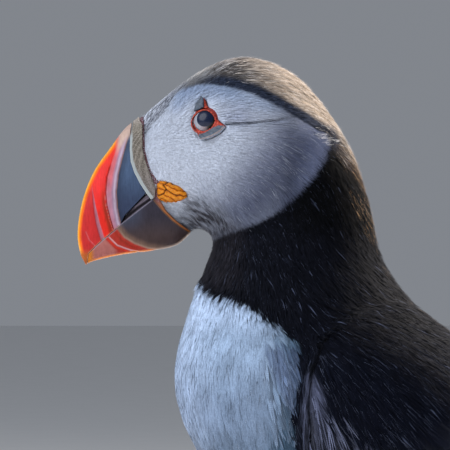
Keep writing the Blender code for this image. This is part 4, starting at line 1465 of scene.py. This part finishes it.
def make_vanes(surface):
    vanes = Vanes(surface)
    vanes.back()
    for side, sign in SIDES:
        vanes.wing(side, sign)
        vanes.flap(side, sign)
        vanes.flank(side, sign)
    vanes.tail()


# ---------------------------------------------------------------------------------------
# Bill

# From root to tip: culmen (y, z), lower edge (y, z) and half width.
BILL_SECTIONS = (
    (-80.0, 193.0, -66.0, 158.2, 8.6), (-86.3, 188.9, -71.2, 153.4, 7.6), (-91.4, 182.3, -78.6, 151.6, 6.3),
    (-95.9, 175.9, -86.0, 150.7, 5.1), (-98.9, 169.0, -92.0, 149.6, 4.1),
    (-100.6, 162.0, -95.6, 148.7, 3.2), (-101.1, 155.5, -97.6, 148.0, 2.4),
    (-100.2, 150.3, -98.6, 147.3, 1.5),
)
CERE_LINE = (
    (-84.6, 194.0), (-85.1, 188.7), (-85.4, 182.0), (-85.1, 178.2),
    (-84.0, 174.9), (-82.1, 171.3), (-80.3, 168.6), (-78.6, 166.4),
)
UPPER_BACK_EDGE = ((-70.0, 179.6), (-80.9, 168.3), (-86.9, 162.0))
LOWER_BACK_EDGE = ((-71.0, 172.6), (-79.4, 166.5))
MEETING_EDGE = (
    (-87.9, 159.9), (-89.6, 158.1), (-93.2, 155.1), (-95.6, 153.0), (-97.7, 150.9), (-98.5, 145.0),
)
LOWER_LIP = (*LOWER_BACK_EDGE, *MEETING_EDGE)
HEAD_SIDE = (*moved(FEATHER_LINE, 0.3), (-66.3, 130), (-40, 130), (-40, 215), (-83.7, 215))
# Grooves and edges of colour, from top to bottom or from front to back.
SLATE_EDGE = (
    (-85.0, 189.4), (-86.4, 184.0), (-87.8, 178.8), (-88.8, 174.4), (-89.4, 169.2), (-89.1, 164.4),
    (-88.2, 160.0),
)
FIRST_GROOVE = (
    (-87.6, 186.4), (-89.2, 182.6), (-90.9, 178.0), (-92.2, 173.6), (-92.6, 169.2), (-92.2, 165.2),
    (-91.2, 161.2), (-90.2, 158.0),
)
SECOND_GROOVE = ((-96.7, 172.0), (-96.6, 169.6), (-96.0, 165.2), (-95.0, 160.0), (-93.6, 155.2))
THIRD_GROOVE = ((-98.6, 157.2), (-97.6, 154.8), (-95.8, 153.0))
LOWER_EDGE_OF_GREY = ((-89.6, 158.8), (-87.0, 155.6), (-84.0, 153.8), (-80.0, 152.3), (-74.0, 151.4))
LOWER_GROOVE = ((-91.6, 155.6), (-89.2, 153.2), (-85.0, 151.6), (-82.0, 151.0))


def between(keys, at):
    """A smooth curve (Catmull-Rom) through rows of numbers, read between two of them."""
    k = min(int(at), len(keys) - 2)
    t = at - k
    p, q, r, s = (np.asarray(keys[min(max(i, 0), len(keys) - 1)], float) for i in (k - 1, k, k + 1, k + 2))
    return 0.5 * (2 * q + (r - p) * t + (2 * p - 5 * q + 4 * r - s) * t**2 + (3 * q - p - 3 * r + s) * t**3)


def bill_form(grow=0.0, each=10, sides=72, fullness=0.8):
    """The whole closed bill as rings of rounded sections, grown by so many mm."""
    rings = []
    for n in range((len(BILL_SECTIONS) - 1) * each + 1):
        y0, z0, y1, z1, wide = between(BILL_SECTIONS, n / each)
        upper, lower = np.array([0, y0, z0]), np.array([0, y1, z1])
        up, half = unit(upper - lower), np.linalg.norm(upper - lower) / 2 + grow
        turn = math.tau * np.arange(sides) / sides
        c, s = np.cos(turn), np.sin(turn)
        along = np.sign(s) * np.abs(s) ** fullness * half
        ring = (upper + lower) / 2 + up * along[:, None]
        ring[:, 0] += np.sign(c) * np.abs(c) ** fullness * (wide + grow)
        rings.append(ring)
    points = np.concatenate(rings)
    shape = bmesh.new()
    verts = [shape.verts.new(p * MM) for p in points]
    for r in range(len(rings) - 1):
        for k in range(sides):
            a, b = r * sides + k, r * sides + (k + 1) % sides
            shape.faces.new([verts[i] for i in (a, b, b + sides, a + sides)])
    shape.faces.new(verts[:sides])
    shape.faces.new(verts[-sides:])
    return closed_mesh("bill form", shape)


def bill_depth(p):
    """How far points lie in from the culmen, and from the lower edge."""
    keys = np.array([between(BILL_SECTIONS, a) for a in np.linspace(0, 7, 50)])
    return [distance(p[:, 1], p[:, 2], keys[:, k : k + 2])[0] for k in (0, 2)]


def make_upper(horn):
    """Upper mandible: slate base with a pale edge, red tip with grooves, orange rim, and painted shade and
    highlights.
    """
    cere_side = [*moved(CERE_LINE, 0.15), (-60, 166.4), (-60, 215), (-84.9, 215)]
    below = [*UPPER_BACK_EDGE, *MEETING_EDGE, (-98.5, 130), (-50, 130), (-50, 179.6)]
    upper, p = fine(cut_away(bill_form(), [HEAD_SIDE, cere_side, below]), 0.24)
    y, z = p[:, 1], p[:, 2]
    slate, first, second, third = (
        ahead_of(y, z, line) for line in (SLATE_EDGE, FIRST_GROOVE, SECOND_GROOVE, THIRD_GROOVE)
    )
    top, _ = bill_depth(p)
    low_half = smooth(174, 166, z)
    on_second = smooth(173, 165, z)
    width_two = 0.16 + 0.42 * smooth(170, 157, z)
    # slate base, darker low down: painted shade
    colour = mix("465874", "282d45", smooth(176, 164, z) * 0.72)
    colour = mix(colour, "2c3447", 0.6 * smooth(2.4, 0.0, -slate))
    # pale edge of the slate, and the pink between it and the first groove
    colour = mix(colour, "9a8097", smooth(-0.12, 0.12, slate))
    colour = mix(colour, "b9a6b8", bump(0.35, 0.9, slate, 0.25) * smooth(188, 178, z))
    pink = smooth(0.9, 1.9, slate) * smooth(1.6, -0.2, first) * (0.35 + 0.65 * smooth(166, 176, z))
    colour = mix(colour, "c75a5e", 0.9 * pink)
    colour = mix(colour, "8a5f3c", bump(-0.10, 0.10, slate, 0.12) * 0.85)
    # red horn, brightest in the middle with a painted highlight
    after = smooth(-0.35, 0.25, first)
    colour = mix(colour, "d92a1e", after)
    glow = np.exp(-(((y + 94.0) / 3.2) ** 2) - ((z - 171.5) / 8.0) ** 2)
    colour = mix(colour, "f2383c", 0.5 * glow * after)
    # dark and pale lines along the grooves; along the first groove the dark line in it is painted shade and
    # the pale line beside it a painted highlight
    colour = mix(colour, "93301d", bump(0.35, 1.5, first, 0.45) * 0.75 * smooth(174, 164, z))
    colour = mix(colour, "3a1718", bump(-0.08, 0.14, first, 0.14) * 0.95 * smooth(180, 174, z))
    colour = mix(colour, "6b2a22", bump(0.75, 0.95, first, 0.2) * 0.6 * smooth(172, 166, z))
    colour = mix(colour, "d39a90", bump(0.28, 0.38, first, 0.08) * 0.7 * low_half)
    colour = mix(colour, "bd2c2c", smooth(-0.6, 0.4, second) * on_second)
    colour = mix(colour, "a46b7b", bump(-width_two, width_two, second, 0.16) * on_second * 0.9)
    colour = mix(colour, "c97a80", bump(-0.15, 0.15, third, 0.22) * 0.4)
    # orange rim of the culmen, pale at its root with a painted highlight, and the worn tip and cutting edge
    front = smooth(-88.6, -90.6, y + 0.15 * (z - 184))
    colour = mix(colour, "f2701c", smooth(1.5, 0.6, top) * front)
    colour = mix(colour, "f6a93a", smooth(0.75, 0.2, top) * front)
    colour = mix(colour, "bfa497", smooth(-90.2, -88.0, y) * smooth(3.4, 1.6, top))
    colour = mix(colour, "ab5a2a", smooth(152.5, 149.8, z))
    cutting = smooth(0.35, 0.05, np.abs(ahead_of(y, z, MEETING_EDGE))) * (y < -88.5)
    colour = mix(colour, "d9ab86", 0.5 * cutting)
    relief = 0.26 * bump(0.35, 2.0, slate, 0.4) * smooth(184, 170, z)
    relief -= 0.42 * bump(-0.1, 0.15, first, 0.25) * smooth(182, 174, z)
    relief -= 0.28 * bump(-width_two, width_two, second, 0.2) * on_second
    relief -= 0.16 * bump(-0.15, 0.15, third, 0.25) + 0.10 * bump(-0.05, 0.05, slate, 0.15)
    relief -= 0.12 * smooth(0.0, -0.4, slate)
    displaced(upper, p, relief)
    number(upper, slate, "growth")
    finished("bill_upper", upper, colour * 0.82, horn, ["upper_mandible"])


def make_lower(horn):
    """Lower mandible: grey-brown base, red tip with one groove, pale rim."""
    above = [*moved(LOWER_LIP, 0, 0.15), (-110, 144.7), (-110, 215), (-50, 215), (-50, 172)]
    lower, p = fine(cut_away(bill_form(), [HEAD_SIDE, above]), 0.24)
    y, z = p[:, 1], p[:, 2]
    grey, groove, root, lip = (
        ahead_of(y, z, line) for line in (LOWER_EDGE_OF_GREY, LOWER_GROOVE, FEATHER_LINE, LOWER_LIP)
    )
    _, low = bill_depth(p)
    colour = mix("33303b", "463838", smooth(163, 154, z))
    colour = mix(colour, "464e62", 0.6 * smooth(-80, -85, y) * smooth(156, 162, z))
    colour = mix(colour, "7d6254", 0.85 * smooth(-2.4, -0.2, grey))
    colour = mix(colour, "a08272", smooth(-0.7, 0.1, grey) * smooth(-90, -86, y))
    colour = mix(colour, "b03328", smooth(-0.15, 0.5, grey) * smooth(-76.0, -80.0, y))
    colour = mix(colour, "8c2818", bump(0.9, 1.6, grey, 0.4) * 0.6)
    colour = mix(colour, "d8a0a4", bump(-0.22, 0.22, groove, 0.2) * smooth(-81, -84, y))
    colour = mix(colour, "d4301c", bump(0.35, 0.75, groove, 0.2) * smooth(-80, -83, y))
    colour = mix(colour, "b06a64", smooth(0.9, 1.6, groove) * smooth(-88.4, -90.4, y))
    # rims: orange in front, brown towards the throat, grey along the lip
    colour = mix(colour, "ea8430", smooth(0.75, 0.25, low) * smooth(-76, -80, y))
    colour = mix(colour, "8d7264", smooth(0.8, 0.2, low) * smooth(-80, -76, y))
    colour = mix(colour, "8d6a50", smooth(0.35, 0.05, root + 0.1) * 0.7)
    colour = mix(colour, "8f8898", 0.7 * smooth(0.5, 0.1, np.abs(lip)))
    colour = mix(colour, "cf7a2a", smooth(-95.8, -97.2, y))
    relief = -0.26 * bump(-0.2, 0.2, groove, 0.25) * smooth(-81, -84, y)
    relief -= 0.12 * bump(-0.1, 0.1, grey, 0.3)
    displaced(lower, p, relief)
    number(lower, grey, "growth")
    finished("bill_lower", lower, colour * 0.78, horn, ["lower_mandible"])


def make_mouth(horn):
    """Inside of the mouth, seen in the open corner of the gape, with two dark slits of painted shadow, each
    edged with a painted highlight.
    """
    wedge = [(-76.5, 171.5), *UPPER_BACK_EDGE[1:], (-88.8, 158.6), (-87.0, 158.2)]
    wedge += [(-79.0, 163.5), (-76.0, 166.0)]
    mouth, p = fine(cut_away(bill_form(-1.1), [wedge], "INTERSECT"), 0.25)
    slits = (
        ((-80.2, 168.8), (-84.0, 165.4), (-87.0, 162.0)),
        ((-78.6, 167.5), (-83.0, 164.4), (-88.0, 160.4)),
    )
    gap = np.minimum(*(distance(p[:, 1], p[:, 2], slit)[0] for slit in slits))
    # painted highlight beside each slit, and painted shadow in the slits
    colour = mix("4a434c", "8d8494", 0.8 * bump(0.55, 0.75, gap, 0.12))
    colour = mix(colour, "17131a", smooth(0.55, 0.3, gap))
    number(mouth, p[:, 2], "growth")
    finished("mouth_lining", mouth, colour, horn)


def make_cere():
    """The raised band at the root of the upper mandible: pitted, with a smooth pale edge."""
    under = [*LOWER_LIP, (-98.5, 130), (-50, 130), (-50, 172.6)]
    horn_side = [*CERE_LINE, (-78.6, 120), (-130, 120), (-130, 215), (-84.6, 215)]
    cere, p = fine(cut_away(bill_form(0.7), [HEAD_SIDE, horn_side, under]), 0.22)
    y, z = p[:, 1], p[:, 2]
    front = -ahead_of(y, z, CERE_LINE)
    band = 0.7 + 0.3 * smooth(184, 174, z)
    smooth_band = smooth(band + 0.15, band - 0.15, front) * smooth(188.5, 185.0, z)
    colour = mix("958d83", "a89f92", smooth(184, 190, z))
    colour = mix(colour, "938b8c", smooth(180, 170, z) * 0.7)
    colour = mix(colour, "b2babc", smooth_band)
    colour = mix(colour, "dccfc4", smooth(189.0, 191.5, z))
    top, _ = bill_depth(p)
    displaced(cere, p, -0.55 * smooth(3.0, 0.6, top))
    number(cere, 1 - smooth_band, "dotted")
    # small dark pits, each one sunk
    finish = dotted_material(
        "Cere horn, pitted in rows", 0.55, 0.2, 0.38, 0.35, (0.28, 0.56), "474038", 0.6, -0.15
    )
    finished("cere_ridge", cere, colour * 0.62, finish, ["cere"])


def make_root_skin():
    """Bare skin between the bill and the feathers: beaded beside the cere, orange-brown below, with painted
    shade where the feathers overhang it.
    """
    feathers = reversed(moved(FEATHERS_START[1:-1], 0.6))
    strip = [*moved(FEATHER_LINE, -0.25), (-66.4, 150), (-65.0, 150), *feathers, (-82, 197)]
    root, p = fine(cut_away(bill_form(-0.2), [strip], "INTERSECT"), 0.22)
    y, z = p[:, 1], p[:, 2]
    colour = mix("5a3238", "8c4c12", smooth(167.5, 164.0, z))
    # painted shade at the back of the strip, under the edge of the feathers
    back = smooth(0.45, 0.8, -ahead_of(y, z, FEATHER_LINE))
    colour = mix(colour, "2c130c", 0.9 * back * smooth(166, 163, z))
    number(root, smooth(165.5, 167.5, z), "dotted")
    # beads of skin about 0.6 mm apart, pale on their tops
    finish = dotted_material(
        "Bare beaded skin at the bill root", 0.6, 0.5, 0.62, 0.5, (0.2, 0.42), "9a8b98", 0.7, 0.2
    )
    finished("bill_root_skin", root, colour, finish)


def make_bill():
    horn = horn_material("Bill horn, waxy keratin", 0.34, 0.5, 0.16, coat=0.03, specular=0.07)
    make_upper(horn)
    make_lower(horn)
    make_mouth(horn)
    make_cere()
    make_root_skin()


# ---------------------------------------------------------------------------------------
# Eyes and the bare skin of the face

LID_WIDE, LID_HIGH = 3.85, 3.51
PLATE_EDGE = ((-0.6, -6.2), (2.7, -5.3), (5.6, -3.7), (7.0, -2.1))  # lower edge of the lower plate


def make_globe(name, place, finish):
    """The eyeball: dark pupil, pale ring that shows in front of it, and a domed cornea."""
    rings, sides, dome = 44, 56, 0.22
    lean = unit(np.array([0.13, 0.07, 1.0]))  # the gaze, in back, up and out
    a = unit(np.cross([0, 1, 0], lean))
    b = np.cross(lean, a)
    theta = np.concatenate([np.linspace(0.04, 1.0, 28), np.linspace(1.06, math.pi - 0.05, rings - 28)])
    phi = math.tau * np.arange(sides) / sides
    flat = np.stack([np.outer(np.sin(theta), np.cos(phi)), np.outer(np.sin(theta), np.sin(phi))], -1)
    direction = flat[..., :1] * a + flat[..., 1:] * b + np.cos(theta)[:, None, None] * lean
    reach = place.radius + dome * np.exp(-((theta / 0.5) ** 2))[:, None, None]
    poles = [lean * (place.radius + dome)], [-lean * place.radius]
    local = np.concatenate([(direction * reach).reshape(-1, 3), *poles])
    first, last, under = rings * sides, rings * sides + 1, (rings - 1) * sides
    faces = net(rings, sides)
    for k in range(sides):
        j = (k + 1) % sides
        faces += [(first, k, j), (last, under + j, under + k)]
    mesh = place.mesh(name, local, faces, place.ball)
    tilt = np.arccos(np.clip(unit(local) @ lean, -1, 1)) * place.radius
    away = np.degrees(np.arctan2(local[:, 1] - 0.2, 0.35 - local[:, 0]))  # 0 towards the bill, -90 down
    pale = smooth(100, 60, np.abs(away + 22))
    iris = mix("1a1512", "898b95", pale)
    iris = mix(iris, "8a6c6a", smooth(-50, -100, away) * pale * 0.6)
    # navy pupil: a painted bluish reflection on the black pupil
    colour = mix(iris, "0e1830", smooth(2.76, 2.64, tilt))
    beyond = np.hypot((local[:, 0] - LID_MIDDLE[0]) / LID_WIDE, (local[:, 1] - LID_MIDDLE[1]) / LID_HIGH)
    colour = mix(colour, "0a0809", smooth(0.86, 0.95, beyond))
    colour = mix(colour, "8a2e24", smooth(1.0, 1.05, beyond))
    finished(name, mesh, colour, finish, [name])


def make_lid(name, place, finish):
    """A soft ring round the eyeball, a little wider than high."""
    sides, count = 14, 96
    turn = math.tau * np.arange(count) / count
    u, v = LID_WIDE * np.cos(turn) + LID_MIDDLE[0], LID_HIGH * np.sin(turn) + LID_MIDDLE[1]
    v = v - 0.35 * smooth(0.2, 0.9, np.sin(turn)) * smooth(0.3, -0.8, np.cos(turn))
    out = np.sqrt(place.radius**2 - np.minimum(u**2 + v**2, 16))
    out = out - math.sqrt(place.radius**2 - OPENING**2) + 0.22
    middle = np.stack([u, v, np.maximum(out, -0.05)], 1)
    outward = unit(np.stack([np.cos(turn), np.sin(turn), np.zeros(count)], 1))
    thick = 0.25 * (1 + 0.22 * wander(np.stack([u, v, v * 0], 1), 1.1, 21))
    around = math.tau * np.arange(sides) / sides
    c, s = np.cos(around)[None, :, None], np.sin(around)[None, :, None]
    ring = outward[:, None] * (c * 1.15) + np.array([0, 0, 1.0]) * s
    local = (middle[:, None] + ring * thick[:, None, None]).reshape(-1, 3)
    mesh = place.mesh(name, local, net(count, sides, closed=True), place.face)
    inner = np.tile(np.cos(around), count)
    colour = mix("8a2a20", "c4503c", 0.5 + 0.5 * wander(local, 0.7, 5))
    colour = mix(colour, "12080a", smooth(-0.35, -0.75, inner))
    finished(name, mesh, colour, finish)


def make_orbit(name, place, finish):
    """The red skin round the eye, dark in its rim and blue-grey under the lower plate."""
    orbit, p = fine(joined_copy([f"orbit_{name}"]), 0.16, 1)
    p = p + SET_LOWER
    u, v, out = place.local(p)
    edge = within(u, v, ORBIT_OUTLINE)
    rise = 0.10 * wander(p, 0.9, 12) - 0.55 * smooth(0.9, 0.1, edge)
    p = p + place.out * (rise * smooth(-0.5, 0.1, out))[:, None]
    set_points(orbit, p)
    colour = mix("a8301f", "cf5440", 0.5 + 0.5 * wander(p, 0.8, 4))
    colour = mix(colour, "1c0d10", smooth(3.42, 3.30, np.hypot(u, v)) * 0.9)
    colour = mix(colour, "4a1a1a", smooth(0.55, 0.15, edge) * 0.9)
    under = smooth(0.85, 0.5, edge) * smooth(-1.2, -0.6, u) * smooth(-1.6, -2.4, v)
    colour = mix(colour, "a3adc0", under)
    finished(f"orbit_skin_{name}", orbit, colour, finish, [f"orbit_{name}"])


def make_plate(which, name, place, finish):
    """A horny plate over or under the eye, sunk a little into the skin."""
    mesh, p = fine(joined_copy([f"eye_plate_{which}_{name}"]), 0.14, 2)
    p = p + SET_LOWER
    u, v, out = place.local(p)
    if which == "upper":
        # its foot reaches down to the rim of the lids
        foot = ((v.max() - v) / np.ptp(v)) ** 1.5
        p = p - (place.up * 0.75 + place.back * 0.15) * foot[:, None]
    p = p - place.out * 0.35 + place.out * (0.05 * wander(p, 0.7, 9))[:, None]
    set_points(mesh, p)
    colour = mix("283343", "3a4859", 0.4 + 0.4 * wander(p, 1.1, 6))
    colour = mix(colour, "1d222e", smooth(0.75, 0.55, out))
    if which == "lower":
        gap, _ = distance(u, v, PLATE_EDGE)
        colour = mix(colour, "8a8183", smooth(0.2, 0.1, gap))
    nodes = [f"eye_plate_{which}_{name}"]
    finished(f"eye_horn_{which}_{name}", mesh, colour, finish, nodes)


def make_eyes():
    wet = eye_material()
    # warts about 0.35 mm across
    glow = (0.15, (1.0, 0.25, 0.15), 0.4)
    bare_skin = fleshy_material(
        "Bare fleshy skin, finely warted", 0.45, 0.2, glow, 0.36, (1.15, 0.6), 0.5, -0.15
    )
    plate_horn = horn_material("Horny plate, matt blue-grey", 0.5, 0.4, 0.3)
    for name, place in PLACES.items():
        make_globe(f"eye_{name}", place, wet)
        make_lid(f"lid_{name}", place, bare_skin)
        make_orbit(name, place, bare_skin)
        for which in ("upper", "lower"):
            make_plate(which, name, place, plate_horn)


def make_rosettes():
    """Soft folded skin at the corner of the gape, creased along its length, with painted shade in its
    creases and a painted highlight on its folds.
    """
    glow = (0.2, (1.0, 0.5, 0.1), 0.6)
    finish = fleshy_material(
        "Gape rosette, soft wrinkled skin", 0.42, 0.15, glow, 0.3, (1.12, 0.78), 0.35, -0.1
    )
    for name, _ in SIDES:
        mesh, p = fine(joined_copy([f"rosette_{name}"]), 0.16, 3)
        y, z = p[:, 1] - GAPE[0], p[:, 2] - GAPE[1]
        flow = z + 0.30 * y + 0.45 * np.sin(y * 0.9 + 0.5) + 0.25 * wander(p, 2.6, 3)
        fold = np.abs(np.sin(flow * 1.9 + 0.6))
        # a hooked crease parts the front lobe from the folds behind it
        hook, _ = distance(y, z, ((-1.0, 3.0), (-2.6, 2.0), (-1.7, 0.9), (-2.4, -0.6), (-4.0, -1.2)))
        middle, _ = distance(y, z, ((-1.7, 0.6), (0.6, -0.9), (3.4, -1.3)))
        crease = np.minimum(smooth(0.0, 0.35, hook), smooth(0.0, 0.3, middle))
        crease = np.minimum(smooth(0.0, 0.34, fold), crease)
        displaced(mesh, p, 0.08 * wander(p, 1.2, 8) - 0.42 * (1 - crease))
        # painted shade in the creases, and a painted highlight on the crests of the folds
        colour = mix("4e2402", "d97a06", crease)
        colour = mix(colour, "eaa338", 0.45 * crease * smooth(0.4, 1.0, fold))
        colour = mix(colour, "a85a14", 0.5 * smooth(-1.6, -3.2, z))
        finished(f"rosette_fold_{name}", mesh, colour * 0.8, finish, [f"rosette_{name}"])


# ---------------------------------------------------------------------------------------
# Legs


def make_legs():
    """Scaled shanks and webbed feet, and their claws, just above the floor."""
    scales = scale_material()
    claw_horn = horn_material("Claw horn, black and worn", 0.32, 0.3, 0.2)
    for name, _ in SIDES:
        nodes = [f"shank_{name}", f"foot_{name}"]
        mesh, p = fine(joined_copy(nodes, 0.2), 0.5)
        z = p[:, 2] = np.maximum(p[:, 2], FLOOR_GAP)
        set_points(mesh, p)
        colour = mix("d9551a", "e8742a", 0.5 + 0.5 * wander(p, 6.0, 41))
        colour = mix(colour, "b8401a", 0.5 * smooth(9, 16, z) * bump(8, 22, z, 6))
        colour = mix(colour, "5d2a18", 0.6 * smooth(1.2, 0.2, z))
        finished(f"leg_{name}", mesh, colour, scales, nodes)
        claws = [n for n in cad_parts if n.startswith("claw_") and n.endswith(name)]
        mesh, p = fine(joined_copy(claws, 0.05), 0.2, 1)
        z = p[:, 2] = np.maximum(p[:, 2], FLOOR_GAP)
        set_points(mesh, p)
        number(mesh, p[:, 1], "growth")
        colour = mix("1c1917", "4a413a", 0.5 * smooth(2.0, 0.5, z))
        finished(f"claws_{name}", mesh, colour, claw_horn, claws)


# ---------------------------------------------------------------------------------------
# Studio

LOOK_AT = (0, -0.04, 0.16)  # where the lights point, in m
SENSOR, LENS = 36, 500  # in mm
VIEW_WIDTH = 0.135  # how much of the bird the camera sees across, in m


def make_floor(half=8):
    floor = bpy.data.meshes.new("floor")
    corners = [(-half, -half, 0), (half, -half, 0), (half, half, 0), (-half, half, 0)]
    floor.from_pydata(corners, [], [(0, 1, 2, 3)])
    obj = bpy.data.objects.new("floor", floor)
    bpy.context.scene.collection.objects.link(obj)
    floor.materials.append(floor_material())


def light(name, place, size, power, colour):
    """A round soft light that points at the bird."""
    data = bpy.data.lights.new(name, "AREA")
    data.shape = "DISK"
    data.size = size
    data.energy = power
    data.color = colour
    obj = bpy.data.objects.new(name, data)
    obj.location = place
    obj.rotation_euler = (Vector(LOOK_AT) - Vector(place)).to_track_quat("-Z", "Y").to_euler()
    bpy.context.scene.collection.objects.link(obj)


def make_camera():
    """A long lens exactly on the bird's left side."""
    camera = bpy.data.cameras.new("camera")
    camera.sensor_width = SENSOR
    camera.lens = LENS
    camera.clip_end = 50
    obj = bpy.data.objects.new("camera", camera)
    obj.location = (VIEW_WIDTH * LENS / SENSOR, -0.0569, 0.1593)
    obj.rotation_euler = (math.pi / 2, 0, math.pi / 2)
    bpy.context.scene.collection.objects.link(obj)
    bpy.context.scene.camera = obj


def make_studio():
    make_floor()
    world = bpy.data.worlds.new("Studio")
    bpy.context.scene.world = world
    world.use_nodes = True
    world.node_tree.nodes["Background"].inputs["Color"].default_value = (0.74, 0.79, 0.88, 1)
    world.node_tree.nodes["Background"].inputs["Strength"].default_value = 0.30
    bpy.context.scene.view_settings.view_transform = "Standard"
    light("key", (0.85, -1.2, 1.25), 2.3, 50, (0.90, 0.94, 1.0))
    light("rim", (-0.55, 0.8, 0.88), 0.3, 42, (1.0, 0.91, 0.82))
    make_camera()


# ---------------------------------------------------------------------------------------
# Build


def make_bird():
    skin = make_skin()
    surface = Surface(skin)
    finish = plumage_material()
    finish_skin(skin, surface, finish)
    make_coat(surface, finish)
    make_strands(surface, finish)
    make_vanes(surface)
    make_bill()
    make_eyes()
    make_rosettes()
    make_legs()


make_bird()
make_studio()
